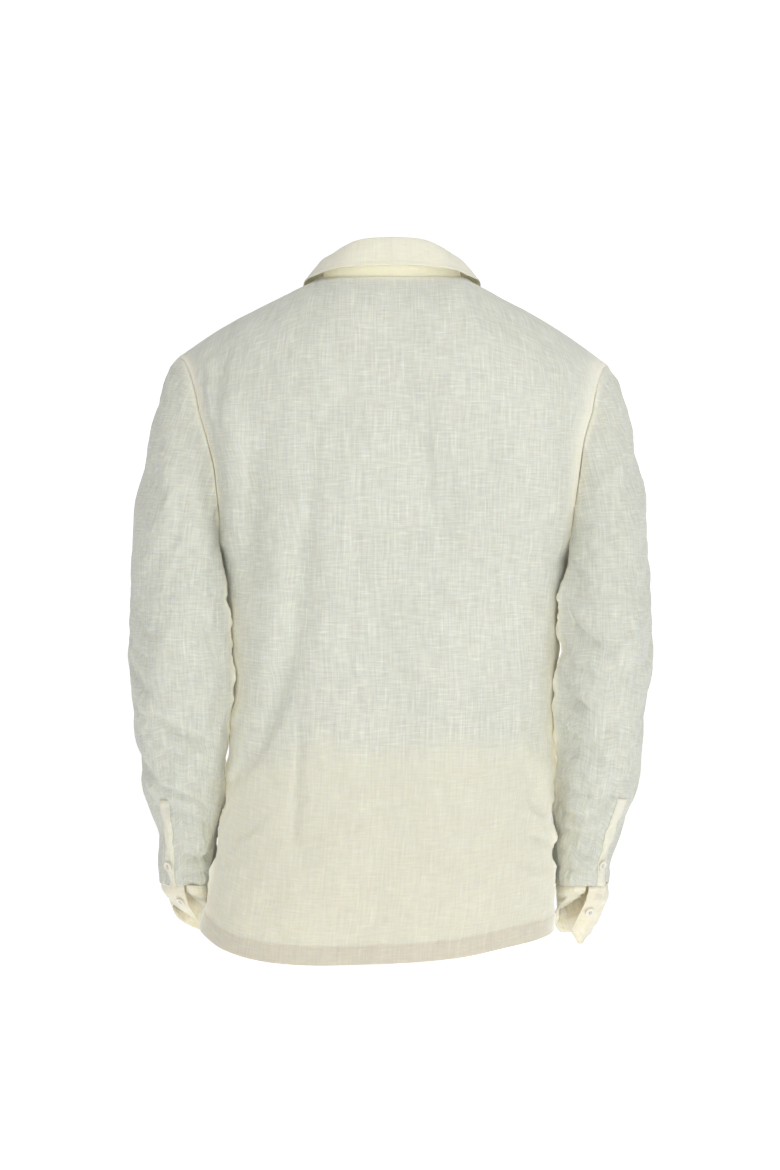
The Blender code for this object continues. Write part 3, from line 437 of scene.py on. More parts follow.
def slub_cloth(name, colour, double_colour, thread_contrast, crumple_height, painted_low_tone=None):
    """Slub cloth: uneven threads both ways, from noise stretched along the warp and the weft.

    The pattern lies on the piece's own cloth map, in metres, so it bends with the cloth. Where the
    attribute doubled is 1, as at a hem, the cloth is two layers thick and its colour is warmer. Where the
    attribute painted_light is 1, beside the armholes, the side seams and the sleeves' underarm seams and
    under the collar, light is painted in. The colour turns paler and warmer and the cloth gives off a faint
    emission, standing in for light through the thin cloth and lifting the shade there. Where there is a
    painted low tone, the cloth turns to it below the waist, on an uneven line. This is painted light that
    makes the lower back plainer and warmer, standing in for the trousers' light seen through the thin cloth.
    """
    material = bpy.data.materials.new(name)
    material.use_nodes = True
    nodes = material.node_tree.nodes
    links = material.node_tree.links
    shader = nodes["Principled BSDF"]
    shader.inputs["Roughness"].default_value = 0.92
    shader.inputs["Sheen Weight"].default_value = 0.12
    shader.inputs["Sheen Roughness"].default_value = 0.6
    shader.inputs["Specular IOR Level"].default_value = 0.25
    shader.inputs["Subsurface Weight"].default_value = 0.6
    shader.inputs["Subsurface Radius"].default_value = (1.0, 0.80, 0.50)
    shader.inputs["Subsurface Scale"].default_value = 0.0018
    cloth_map = nodes.new("ShaderNodeUVMap")
    cloth_map.uv_map = "cloth"

    def noise(kind):
        """Noise stretched into threads or crumples on the cloth map, from 0 where low to 1 where high."""
        size = dict(zip(NOISE_COLUMNS, NOISE[kind]))
        place = nodes.new("ShaderNodeMapping")
        place.inputs["Scale"].default_value = (size["across"], size["along"], 1.0)
        links.new(cloth_map.outputs["UV"], place.inputs["Vector"])
        cloud = nodes.new("ShaderNodeTexNoise")
        cloud.noise_dimensions = "2D"
        cloud.inputs["Scale"].default_value = 1.0
        cloud.inputs["Detail"].default_value = size["detail"]
        cloud.inputs["Roughness"].default_value = 0.55
        links.new(place.outputs["Vector"], cloud.inputs["Vector"])
        remap = nodes.new("ShaderNodeMapRange")
        remap.inputs["From Min"].default_value = size["low"]
        remap.inputs["From Max"].default_value = size["high"]
        links.new(cloud.outputs["Fac"], remap.inputs["Value"])
        return remap.outputs["Result"]

    def add(first, second):
        """The sum of two values."""
        node = nodes.new("ShaderNodeMath")
        links.new(first, node.inputs[0])
        links.new(second, node.inputs[1])
        return node.outputs["Value"]

    def change(value, kind, number):
        """A value multiplied by a number, or raised to it."""
        node = nodes.new("ShaderNodeMath")
        node.operation = kind
        links.new(value, node.inputs[0])
        node.inputs[1].default_value = number
        return node.outputs["Value"]

    def toward(first, second, share, kind="MIX"):
        """A colour that goes to the second one, or to its product with it, as the share goes to 1."""
        node = nodes.new("ShaderNodeMix")
        node.data_type = "RGBA"
        node.blend_type = kind
        if isinstance(first, tuple):
            node.inputs["A"].default_value = (*first, 1.0)
        else:
            links.new(first, node.inputs["A"])
        node.inputs["B"].default_value = (*second, 1.0)
        links.new(share, node.inputs["Factor"])
        return node.outputs["Result"]

    def attribute(kind):
        """The value of one of the cloth's own attributes."""
        node = nodes.new("ShaderNodeAttribute")
        node.attribute_name = kind
        return node.outputs["Fac"]

    fine = add(noise("weft"), noise("warp"))
    slubs = add(noise("weft_slub"), noise("warp_slub"))
    thread = add(change(fine, "MULTIPLY", FINE_SHARE), change(slubs, "MULTIPLY", SLUB_SHARE))
    dark = tuple((1 - thread_contrast) * c for c in colour)
    pale = tuple(min((1 + PALE_THREADS * thread_contrast) * c, 1.0) for c in colour)
    tone = toward(toward(dark, pale, thread), PATCH_COLOUR, noise("patch"), "MULTIPLY")
    # Painted light below the waist: the cloth is made plainer, then warmer, on an uneven line
    if painted_low_tone is not None:
        place = nodes.new("ShaderNodeTexCoord")
        apart = nodes.new("ShaderNodeSeparateXYZ")
        links.new(place.outputs["Object"], apart.inputs["Vector"])
        wave = nodes.new("ShaderNodeTexNoise")
        wave.inputs["Scale"].default_value = LOW_TONE_WAVE
        links.new(place.outputs["Object"], wave.inputs["Vector"])
        below = nodes.new("ShaderNodeMapRange")
        below.interpolation_type = "SMOOTHSTEP"
        below.inputs["From Min"].default_value = LOW_TONE_HEIGHTS[0] + LOW_TONE_SWING / 2
        below.inputs["From Max"].default_value = LOW_TONE_HEIGHTS[1] + LOW_TONE_SWING / 2
        swing = change(wave.outputs["Fac"], "MULTIPLY", LOW_TONE_SWING)
        links.new(add(apart.outputs["Z"], swing), below.inputs["Value"])
        plain = tuple(PLAIN_TONE * c for c in colour)
        tone = toward(tone, plain, change(below.outputs["Result"], "MULTIPLY", PLAIN_SHARE))
        tone = toward(tone, painted_low_tone, below.outputs["Result"], "MULTIPLY")
    # Painted light: where painted_light is 1 the colour goes to the painted light colour and the cloth gives
    # off a faint painted emission
    painted_light = attribute("painted_light")
    tone = toward(tone, double_colour, attribute("doubled"), "MULTIPLY")
    links.new(toward(tone, PAINTED_LIGHT_COLOUR, painted_light), shader.inputs["Base Color"])
    shader.inputs["Emission Color"].default_value = (*PAINTED_LIGHT_COLOUR, 1.0)
    through = change(change(painted_light, "POWER", PAINTED_EMISSION_POWER), "MULTIPLY", PAINTED_EMISSION_SHARE)
    links.new(through, shader.inputs["Emission Strength"])

    crumple = add(noise("small_crumple"), noise("large_crumple"))
    crumpled = nodes.new("ShaderNodeBump")
    crumpled.inputs["Strength"].default_value = 1.0
    crumpled.inputs["Distance"].default_value = crumple_height
    links.new(crumple, crumpled.inputs["Height"])
    bump = nodes.new("ShaderNodeBump")
    bump.inputs["Strength"].default_value = 0.55
    bump.inputs["Distance"].default_value = THREAD_HEIGHT
    links.new(thread, bump.inputs["Height"])
    links.new(crumpled.outputs["Normal"], bump.inputs["Normal"])
    links.new(bump.outputs["Normal"], shader.inputs["Normal"])
    return material


def add_mesh(name, points, faces, materials):
    """A smooth mesh of points and faces, in the scene, with its materials."""
    mesh = bpy.data.meshes.new(name)
    mesh.from_pydata(points.reshape(-1, 3).tolist(), [], faces)
    for material in materials:
        mesh.materials.append(material)
    mesh.shade_smooth()
    piece = bpy.data.objects.new(name, mesh)
    bpy.context.scene.collection.objects.link(piece)
    return piece


def add_cloth(
    name, points, outward, material, thickness, doubled=None, shut=None, cut=None, grain=None, painted_light=None
):
    """A piece of cloth from a grid of points: a thin shell whose wall goes inwards, with its cloth map.

    Shut marks the rows whose ends are joined, so that the piece is a tube there. Cut marks cells left out.
    Grain is the row that the cloth map is measured from, where its threads follow the columns.
    """
    rows, cols = points.shape[:2]
    index = np.arange(rows * cols).reshape(rows, cols)
    u = lengths(points, 1)
    u = u - u[:, cols // 2][:, None]
    v = lengths(points, 0)[:, cols // 2][:, None] + 0 * u
    if grain is not None:
        u = u[grain] + 0 * u
        v = lengths(points, 0)
        v = v - v[grain]
    cloth_map = np.stack([u, v], axis=-1).reshape(-1, 2)
    joined = index.copy()
    if shut is not None:
        joined[shut, -1] = joined[shut, 0]
    order = (0, 1, 2, 3) if np.dot(normals(points)[rows // 2, cols // 2], outward) > 0 else (0, 3, 2, 1)

    def corners(of):
        around = [of[:-1, :-1], of[1:, :-1], of[1:, 1:], of[:-1, 1:]]
        quads = np.stack([around[i] for i in order], axis=-1).reshape(-1, 4)
        return quads if cut is None else quads[~cut.reshape(-1)]

    used, faces = np.unique(corners(joined), return_inverse=True)
    piece = add_mesh(name, points.reshape(-1, 3)[used], faces.reshape(-1, 4).tolist(), [material])
    layer = piece.data.uv_layers.new(name="cloth")
    layer.data.foreach_set("uv", cloth_map[corners(index).reshape(-1)].reshape(-1))
    for kind, share in (("doubled", doubled), ("painted_light", painted_light)):
        attribute = piece.data.attributes.new(kind, "FLOAT", "POINT")
        values = np.zeros((rows, cols)) if share is None else share + np.zeros((rows, cols))
        attribute.data.foreach_set("value", values.reshape(-1)[used])
    wall = piece.modifiers.new("Wall", "SOLIDIFY")
    wall.thickness = thickness
    wall.offset = -1.0
    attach(piece, "root")
    return piece


def panel_rows(rows):
    """Places up a panel: close together at the hem's fold and stitches, then even."""
    hem = np.array(HEM_ROWS) / (ARMPIT_HEIGHT - HEM[4][1])
    lower = np.linspace(hem[-1], 1, rows[0])[1:]
    return np.concatenate([hem, lower, np.linspace(1, 2, rows[1])[1:], np.linspace(2, 3, rows[2])[1:]])


def panel_grid(is_back, folds, rows, middle_columns, mid_columns=()):
    """A panel's points with columns at set distances from its side edges, and from its middle line.

    Each row is measured on a fine first reading, and its columns are then placed by length. Returns the
    points, and how far each lies from the right edge, from the left edge and from the hem.
    """
    ups = panel_rows(rows)
    fine = np.linspace(-1, 1, FIRST_READING)
    first = panel(fine[None, :], ups[:, None], is_back, folds)
    reach = lengths(first, 1)
    edge = np.array(EDGE_COLUMNS)
    shares = np.linspace(0, 1, middle_columns + 2)[1:-1]
    across = []
    offsets = np.array(mid_columns)
    for reading in reach:
        whole = reading[-1]
        even = edge[-1] + shares * (whole - 2 * edge[-1])
        if len(offsets):
            centre = np.interp(0, fine, reading)
            right = np.linspace(edge[-1], centre - offsets[-1], middle_columns // 2 + 2)[1:-1]
            left = np.linspace(centre + offsets[-1], whole - edge[-1], middle_columns // 2 + 2)[1:-1]
            even = np.concatenate([right, centre - offsets[::-1], centre + offsets, left])
        places = np.concatenate([edge, even, whole - edge[::-1]])
        across.append(np.interp(places, reading, fine))
    across = np.array(across)
    points = panel(across, ups[:, None] + 0 * across, is_back, folds)
    from_right = lengths(points, 1)
    from_left = from_right[:, -1:] - from_right
    from_hem = lengths(points, 0)
    return points, ups, from_right, from_left, from_hem


def band(distance, width, softness=0.0006):
    """1 inside a turned band of cloth, going down to 0 past its edge."""
    return 1 / (1 + np.exp(np.clip((distance - width) / softness * 2, -40, 40)))


def line(distance, place, width):
    """A bell across a line at that distance, 1 on the line."""
    return np.exp(-(((distance - place) / width) ** 2))


def dress_panel(points, ups, from_right, from_left, from_hem, creases, seed, is_back):
    """Adds a panel's creases, rumples, felled bands, hem and puckers, and tells where it is doubled."""
    x = points[..., 0]
    z = points[..., 2]
    height = CREASE_DEPTH * crease_push(x, z, creases)
    side_edge = np.minimum(from_right, from_left)
    calm = np.clip(side_edge / EDGE_CALM, 0, 1) * np.clip(from_hem / HEM_CALM, HEM_CALM_LEAST, 1)
    shoulder = np.clip((3 - ups[:, None]) / SHOULDER_CALM, 0, 1)
    still = np.clip(side_edge / EDGE_STILL, 0, 1)
    height = (height + rumple(x, z, seed)) * still * calm**0.5 * shoulder
    doubled = band(from_hem, HEM_WIDTH)
    height = height + HEM_RISE * doubled
    height = height - GROOVE_DEPTH * line(from_hem, HEM_STITCH, GROOVE_WIDTH)
    height = height + PUCKER_HEIGHT * waver(from_right, seed) * line(from_hem, HEM_STITCH, PUCKER_REACH)
    if is_back:
        fell = band(side_edge, FELL_WIDTH)
        doubled = np.maximum(doubled, fell * FELL_SHARE)
        height = height + FELL_RISE * fell * np.clip(side_edge / FELL_START, 0, 1)
        for place in (STITCH_INSET, FELL_WIDTH - STITCH_INSET):
            height = height - GROOVE_DEPTH * FELL_SHARE * line(side_edge, place, GROOVE_WIDTH)
        puckers = waver(from_hem, seed + 1) * line(side_edge, FELL_WIDTH, PUCKER_REACH)
        height = height + PUCKER_HEIGHT * puckers
    return height, doubled


def side_sway(points, from_right, from_left):
    """The side seams' waves and dents, level and the same on both panels, so that the seam stays shut."""
    z = points[..., 2]
    window = np.clip((SIDE_WAVE_TOP - z) / SIDE_WAVE_FADE, 0, 1)
    sway = np.zeros_like(z)
    for side, distance, sign in (("left", from_left, 1), ("right", from_right, -1)):
        wave = 0
        for length, depth, phase in SIDE_WAVES:
            wave = wave + depth * np.sin(2 * math.pi * z / length + phase * (2 + sign))
        for row in SIDE_DENTS[side]:
            dent = dict(zip(SIDE_DENT_COLUMNS, row))
            wave = wave - dent["depth"] * line(z, dent["height"], dent["size"])
        sway = sway + sign * wave * np.exp(-((distance / SIDE_WAVE_REACH) ** 2))
    return sway * window


def read_at(at, reach, values):
    """Three columns of values, read where their reach comes to at."""
    return np.stack([np.interp(at, reach, values[:, k]) for k in range(3)], axis=-1)


STITCH_SPACING = 0.0034
STITCH_LENGTH = 0.0025
STITCH_FULL_TO = 0.55
STITCH_SIDES = 6
STITCH_STEP = 0.0005
THREAD_RADIUS = 0.00022
STITCH_LIFT = 0.00008


def add_stitches(name, rows, material):
    """A row of sewn stitches along each path: short grains of thread, a little proud of the cloth.

    Each row is its path and the way the cloth faces along it. All of them are one mesh.
    """
    ring = np.arange(STITCH_SIDES) * 2 * math.pi / STITCH_SIDES
    shape = [(-1.0, 0.0, 0.0)]
    for place in (-STITCH_FULL_TO, STITCH_FULL_TO):
        shape += [(place, math.cos(a), math.sin(a)) for a in ring]
    shape.append((1.0, 0.0, 0.0))
    shape = np.array(shape) * np.array([STITCH_LENGTH / 2, THREAD_RADIUS, THREAD_RADIUS])
    near = 1 + np.arange(STITCH_SIDES)
    after = 1 + near % STITCH_SIDES
    faces = [np.stack([0 * near, after, near], axis=-1)]
    faces.append(np.stack([near, after, after + STITCH_SIDES], axis=-1))
    faces.append(np.stack([near, after + STITCH_SIDES, near + STITCH_SIDES], axis=-1))
    faces.append(np.stack([0 * near + len(shape) - 1, near + STITCH_SIDES, after + STITCH_SIDES], axis=-1))
    faces = np.concatenate(faces)
    all_points = []
    for path, facing in rows:
        reach = np.concatenate([[0], np.cumsum(np.linalg.norm(np.diff(path, axis=0), axis=1))])
        at = np.arange(STITCH_SPACING / 2, reach[-1], STITCH_SPACING)
        along = read_at(at + STITCH_STEP, reach, path) - read_at(at - STITCH_STEP, reach, path)
        along /= np.linalg.norm(along, axis=-1, keepdims=True)
        up = read_at(at, reach, facing)
        up -= along * (along * up).sum(axis=-1, keepdims=True)
        up /= np.linalg.norm(up, axis=-1, keepdims=True)
        side = np.cross(up, along)
        centre = read_at(at, reach, path) + up * STITCH_LIFT
        frame_of = np.stack([along, side, up], axis=1)
        all_points.append(centre[:, None] + np.einsum("pk,nkj->npj", shape, frame_of))
    points = np.concatenate(all_points)
    count = len(points)
    whole = (faces[None] + len(shape) * np.arange(count)[:, None, None]).reshape(-1, 3)
    piece = add_mesh(name, points, whole.tolist(), [material])
    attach(piece, "root")
    return piece


# The sleeves' copy of the cloth is a little darker than the body's: painted shade
CLOTH = slub_cloth("slub_cloth", (0.715, 0.718, 0.632), (1.120, 1.070, 0.960), 0.19, 0.0009)
# The body's cloth carries the painted low tone below the waist, warmer
BODY_CLOTH = slub_cloth(
    "slub_cloth_body", (0.725, 0.730, 0.648), (0.960, 0.905, 0.870), 0.18, 0.0005, (1.045, 1.022, 0.985)
)
# Painted light on the body panels, paler and warmer with a faint emission: its reach beside the armholes and
# down the sides, how it fades, and its reach under the collar and at the shoulders
GLOW_TOP = -0.290
GLOW_FADE = 0.060
GLOW_SIDE = 0.034
GLOW_LEFT = 0.007
GLOW_RIGHT = 0.018
GLOW_LEAST = 0.75
NECK_GLOW = 0.017
NECK_GLOW_END = 0.105
NECK_GLOW_FADE = 0.030
SHOULDER_GLOW_END = 3.2
SHOULDER_GLOW_FADE = 0.2


def plain_material(name, colour, roughness):
    """A material of one colour."""
    material = bpy.data.materials.new(name)
    material.use_nodes = True
    shader = material.node_tree.nodes["Principled BSDF"]
    shader.inputs["Base Color"].default_value = (*colour, 1.0)
    shader.inputs["Roughness"].default_value = roughness
    return material


THREAD = plain_material("sewing_thread", (0.80, 0.76, 0.62), 0.7)


def painted_edge_light(points, ups, from_right, from_left):
    """Where light is painted on a panel, paler and warmer with a faint emission, to lift the shade: beside
    the armholes, along the sides and under the collar.
    """
    z = points[..., 2]
    below = np.clip((GLOW_TOP - z) / GLOW_FADE, 0, 1)
    share = 0 * z
    for distance, armhole_reach in ((from_left, GLOW_LEFT), (from_right, GLOW_RIGHT)):
        reach = armhole_reach + (GLOW_SIDE - armhole_reach) * below
        strength = np.exp(-((distance / reach) ** 2))
        share = np.maximum(share, strength * (GLOW_LEAST + (1 - GLOW_LEAST) * below))
    from_top = lengths(points, 0)[-1:] - lengths(points, 0)
    neck = np.clip((NECK_GLOW_END - np.abs(points[..., 0])) / NECK_GLOW_FADE, 0, 1)
    share = np.maximum(share, np.exp(-((from_top / NECK_GLOW) ** 2)) * neck)
    return share * np.clip((SHOULDER_GLOW_END - ups[:, None]) / SHOULDER_GLOW_FADE, 0, 1)


back, ups, from_right, from_left, from_hem = panel_grid(
    True, BACK_FOLDS, BACK_ROWS, BACK_MIDDLE_COLUMNS
)
height, doubled = dress_panel(back, ups, from_right, from_left, from_hem, BACK_CREASES, BACK_SEED, True)
BACKWARD = np.array([0, 1.0, 0])
back[..., 0] += side_sway(back, from_right, from_left)
back_facing = facing_out(back, BACKWARD)
back = back + back_facing * height[..., None]

back_piece = add_cloth(
    "back_cloth",
    back,
    BACKWARD,
    BODY_CLOTH,
    CLOTH_THICKNESS,
    doubled,
    painted_light=painted_edge_light(back, ups, from_right, from_left),
)
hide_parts("back")


def row_at(points, facing, measure, place, axis):
    """The path that crosses a grid at a set distance, and the way the cloth faces along it."""
    nearest = np.abs(measure - place).argmin(axis=axis)
    if axis == 0:
        pick = (nearest, np.arange(points.shape[1]))
    else:
        pick = (np.arange(points.shape[0]), nearest)
    return points[pick], facing[pick]


back_seams = [row_at(back, back_facing, from_hem, HEM_STITCH, 0)]
for side_edge in (from_right, from_left):
    for place in (STITCH_INSET, FELL_WIDTH - STITCH_INSET):
        back_seams.append(row_at(back, back_facing, side_edge, place, 1))
back_stitches = add_stitches("back_stitches", back_seams, THREAD)

# The hem facing is the cut edge turned up twice inside, so it shows from below and through the hem.
HEM_FACING_GAP = 0.0003


def add_hem_facing(name, points, facing, from_hem, material):
    """The turned-up inside of a hem: the panel's own lowest rows, moved in past its wall."""
    rows = int(np.searchsorted(from_hem[:, from_hem.shape[1] // 2], HEM_WIDTH)) + 1
    inner = points[:rows] - facing[:rows] * (CLOTH_THICKNESS + HEM_FACING_GAP)
    outward = facing[rows // 2, facing.shape[1] // 2]
    piece = add_cloth(name, inner, outward, material, CLOTH_THICKNESS, np.ones(inner.shape[:2]))
    return piece


back_hem = add_hem_facing("back_hem_facing", back, back_facing, from_hem, BODY_CLOTH)

# The front.
# One width like the back, slit down its middle from the neck for the half placket. Only its edges and
# the inside show past the back, so its creases are like those of the back.

FRONT_FOLDS = (
    (0.130, -0.170, 0.126, -0.260, 0.120, -0.350, 0.116, -0.460, 0.0180, 0.0080),
    (-0.132, -0.180, -0.128, -0.270, -0.124, -0.360, -0.112, -0.480, 0.0180, 0.0085),
    (0.074, -0.360, 0.078, -0.450, 0.084, -0.540, 0.090, -0.640, 0.0190, 0.0055),
    (-0.070, -0.400, -0.076, -0.480, -0.082, -0.560, -0.086, -0.650, 0.0190, 0.0060),
    (0.030, -0.420, 0.026, -0.500, 0.022, -0.570, 0.024, -0.640, 0.0180, 0.0040),
)
FRONT_CREASES = (
    (0.176, -0.120, 0.168, -0.165, 0.160, -0.220, 0.0055, 0.0026, 1),
    (0.158, -0.235, 0.140, -0.275, 0.128, -0.330, 0.0060, 0.0026, -1),
    (0.100, -0.180, 0.094, -0.250, 0.096, -0.330, 0.0075, 0.0015, 1),
    (0.060, -0.140, 0.050, -0.190, 0.044, -0.250, 0.0060, 0.0012, -1),
    (0.150, -0.430, 0.130, -0.470, 0.104, -0.495, 0.0065, 0.0022, 1),
    (0.160, -0.520, 0.130, -0.545, 0.096, -0.550, 0.0070, 0.0020, -1),
    (0.060, -0.520, 0.050, -0.580, 0.052, -0.650, 0.0075, 0.0016, 1),
    (0.140, -0.600, 0.124, -0.630, 0.116, -0.670, 0.0065, 0.0016, -1),
    (-0.178, -0.130, -0.170, -0.175, -0.160, -0.225, 0.0055, 0.0026, -1),
    (-0.160, -0.240, -0.142, -0.285, -0.126, -0.345, 0.0060, 0.0024, 1),
    (-0.104, -0.190, -0.098, -0.260, -0.098, -0.320, 0.0075, 0.0014, -1),
    (-0.052, -0.150, -0.046, -0.200, -0.040, -0.270, 0.0060, 0.0012, 1),
    (-0.156, -0.420, -0.134, -0.455, -0.104, -0.470, 0.0065, 0.0022, -1),
    (-0.158, -0.500, -0.128, -0.535, -0.094, -0.545, 0.0070, 0.0021, 1),
    (-0.050, -0.500, -0.046, -0.570, -0.050, -0.640, 0.0075, 0.0016, -1),
    (-0.146, -0.590, -0.128, -0.625, -0.120, -0.665, 0.0065, 0.0015, 1),
    (-0.020, -0.400, 0.000, -0.430, 0.030, -0.440, 0.0090, 0.0014, 1),
    (-0.030, -0.560, 0.000, -0.575, 0.036, -0.570, 0.0100, 0.0012, -1),
)
SLIT_LENGTH = 0.27
SLIT_HALF_WIDTH = 0.0008
PLACKET_WIDTH = 0.032
FRONT_SEED = 2.1
FRONT_ROWS = (84, 40, 26)
FRONT_MIDDLE_COLUMNS = 84
MID_COLUMNS = (0.0, 0.0016, 0.0040, 0.0080, 0.0120, 0.0138, 0.0146, 0.0160)
PLACKET_CALM_REACH = 0.004
PLACKET_CALM_BELOW = 0.03
PLACKET_CALM = 0.25
FORWARD = np.array([0, -1.0, 0])

front, ups, from_right, from_left, from_hem = panel_grid(
    False, FRONT_FOLDS, FRONT_ROWS, FRONT_MIDDLE_COLUMNS, MID_COLUMNS
)
middle = front.shape[1] // 2
front[:, middle - 1, 0] -= SLIT_HALF_WIDTH
front[:, middle, 0] += SLIT_HALF_WIDTH
height, doubled = dress_panel(
    front, ups, from_right, from_left, from_hem, FRONT_CREASES, FRONT_SEED, False
)
from_middle = np.abs(lengths(front, 1) - lengths(front, 1)[:, middle - 1 : middle + 1].mean(axis=1)[:, None])
placket_bottom = NECK_FRONT_HEIGHT - SLIT_LENGTH
in_placket = from_middle < PLACKET_WIDTH / 2 + PLACKET_CALM_REACH
in_placket &= front[..., 2] > placket_bottom - PLACKET_CALM_BELOW
height = np.where(in_placket, height * PLACKET_CALM, height)
front[..., 0] += side_sway(front, from_right, from_left)
front_facing = facing_out(front, FORWARD)
front = front + front_facing * height[..., None]
open_rows = front[:-1, middle, 2] >= placket_bottom
slit = np.zeros((front.shape[0] - 1, front.shape[1] - 1), bool)
slit[:, middle - 1] = open_rows
front_piece = add_cloth("front_cloth", front, FORWARD, BODY_CLOTH, CLOTH_THICKNESS, doubled, cut=slit)
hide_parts("front")
front_stitches = add_stitches(
    "front_stitches", [row_at(front, front_facing, from_hem, HEM_STITCH, 0)], THREAD
)
front_hem = add_hem_facing("front_hem_facing", front, front_facing, from_hem, BODY_CLOTH)

# The front placket.
# Two doubled strips close the slit, the wearer's left one on top, stitched down along both edges and
# across the foot. They lie on the front and behind it.

SKIN_GAP = 0.0003
PLACKET_THICKNESS = 0.0010
UNDER_PLACKET_THICKNESS = 0.0008
PLACKET_FOOT = 0.012
PLACKET_SEED = 3.3
PLACKET_ROWS_BELOW = 4
PLACKET_PUCKER = 0.7


def strip_seams(points, facing, across, along, places):
    """A strip's stitch lines: beside both its edges, and across it at set distances from its end."""
    seams = [row_at(points, facing, reach, STITCH_INSET, 1) for reach in (across, across[:, -1:] - across)]
    return seams + [row_at(points, facing, along, place, 0) for place in places]


DOUBLED = slub_cloth("doubled_cloth", (0.850, 0.830, 0.700), (1.0, 0.98, 0.94), 0.06, 0.0005)

start = int(np.flatnonzero(~open_rows)[-1]) - PLACKET_ROWS_BELOW
first_column = middle - len(MID_COLUMNS)
last_column = middle + len(MID_COLUMNS)
strip = front[start:, first_column:last_column]
strip_facing = front_facing[start:, first_column:last_column]
strip_side = lengths(strip, 1)
strip_edge = np.minimum(strip_side, strip_side[:, -1:] - strip_side)
strip_foot = lengths(strip, 0)
relief = -GROOVE_DEPTH * FELL_SHARE * line(strip_edge, STITCH_INSET, GROOVE_WIDTH)
puckers = waver(strip_foot, PLACKET_SEED) * line(strip_edge, 0, PUCKER_REACH)
relief = relief + PUCKER_HEIGHT * PLACKET_PUCKER * puckers
over = strip + strip_facing * (CLOTH_THICKNESS + SKIN_GAP + relief)[..., None]
placket_piece = add_cloth("placket_cloth", over, FORWARD, DOUBLED, PLACKET_THICKNESS)
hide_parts("front_placket")
placket_seams = strip_seams(over, strip_facing, strip_side, strip_foot, (STITCH_INSET, PLACKET_FOOT))
placket_stitches = add_stitches("placket_stitches", placket_seams, THREAD)
under = strip - strip_facing * (CLOTH_THICKNESS + SKIN_GAP)
under_piece = add_cloth("placket_under_cloth", under, FORWARD, DOUBLED, UNDER_PLACKET_THICKNESS)
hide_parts("front_placket_under")

# The sleeves.
# Each is one piece closed by a felled seam under the arm, set into the armhole and slit above the cuff at
# the back. They hang a little bent, with slanted folds at the elbow and puckers along the seam.

SLEEVE_CAP_END = -0.345
WRIST_HEIGHT = -0.652
SLEEVE_SLIT_TOP = -0.578
SLEEVE_LEAN = {"left": 0.008, "right": 0.004}
SLEEVE_SLIT_ANGLE = 50.0
SLEEVE_SLIT_HALF_TURN = 1.2
CAP_OUTWARD = 0.12
CAP_OUTWARD_AT_TOP = 0.40
CAP_BACKWARD = 0.35
CAP_FALL_LESS_AT_TOP = 0.12
CAP_SHORTER_AT_TOP = 0.25
SLEEVE_FOLD_LEAD_IN = 60.0
ARMHOLE_ANGLES = (0.0, 25.0, 50.0, 76.0, 98.0, 118.0, 138.0, 159.0, 180.0)
ARMHOLE_ROWS = (3.0, 2.67, 2.33, 2.0, 1.72, 1.46, 1.25, 1.1, 1.0)
SLEEVE_COLUMNS = ("height", "outer", "inner", "front", "back")
SLEEVES = {
    "left": (
        (-0.652, 0.2525, 0.1985, -0.076, 0.014),
        (-0.625, 0.2545, 0.1955, -0.077, 0.024),
        (-0.594, 0.2560, 0.1920, -0.078, 0.036),
        (-0.570, 0.2640, 0.1875, -0.078, 0.046),
        (-0.550, 0.2707, 0.1855, -0.077, 0.054),
        (-0.509, 0.2750, 0.1825, -0.074, 0.070),
        (-0.467, 0.2794, 0.1810, -0.069, 0.084),
        (-0.425, 0.2826, 0.1795, -0.064, 0.093),
        (-0.377, 0.2848, 0.1815, -0.064, 0.092),
        (-0.345, 0.2848, 0.1845, -0.066, 0.087),
    ),
    "right": (
        (-0.652, -0.2370, -0.1800, -0.074, 0.014),
        (-0.625, -0.2405, -0.1800, -0.076, 0.024),
        (-0.594, -0.2500, -0.1795, -0.077, 0.036),
        (-0.567, -0.2598, -0.1800, -0.078, 0.046),
        (-0.516, -0.2696, -0.1810, -0.075, 0.068),
        (-0.490, -0.2720, -0.1815, -0.071, 0.077),
        (-0.437, -0.2765, -0.1825, -0.065, 0.092),
        (-0.409, -0.2800, -0.1835, -0.064, 0.094),
        (-0.377, -0.2808, -0.1850, -0.064, 0.092),
        (-0.345, -0.2804, -0.1870, -0.066, 0.087),
    ),
}
# Folds of a sleeve: from one angle and height to another. 0 degrees is outside, 90 behind, 180 inside.
SLEEVE_FOLD_COLUMNS = ("angle0", "height0", "angle1", "height1", "width", "depth")
SLEEVE_FOLDS = {
    "left": (
        (70.0, -0.345, 150.0, -0.395, 0.0120, 0.0065),
        (-10.0, -0.405, 70.0, -0.455, 0.0120, 0.0060),
        (60.0, -0.480, 150.0, -0.505, 0.0110, 0.0050),
        (-20.0, -0.500, 60.0, -0.545, 0.0110, 0.0050),
        (20.0, -0.552, 140.0, -0.590, 0.0100, 0.0055),
        (80.0, -0.622, 160.0, -0.616, 0.0090, 0.0030),
        (200.0, -0.380, 300.0, -0.430, 0.0130, 0.0065),
        (210.0, -0.470, 310.0, -0.450, 0.0120, 0.0055),
        (220.0, -0.540, 320.0, -0.575, 0.0110, 0.0045),
    ),
    "right": (
        (60.0, -0.425, 150.0, -0.370, 0.0120, 0.0070),
        (70.0, -0.470, 160.0, -0.445, 0.0110, 0.0050),
        (60.0, -0.520, 165.0, -0.490, 0.0100, 0.0045),
        (60.0, -0.560, 165.0, -0.535, 0.0100, 0.0040),
        (75.0, -0.605, 165.0, -0.590, 0.0090, 0.0035),
        (200.0, -0.385, 300.0, -0.420, 0.0130, 0.0065),
        (215.0, -0.460, 310.0, -0.480, 0.0120, 0.0055),
        (220.0, -0.550, 320.0, -0.530, 0.0110, 0.0045),
    ),
}
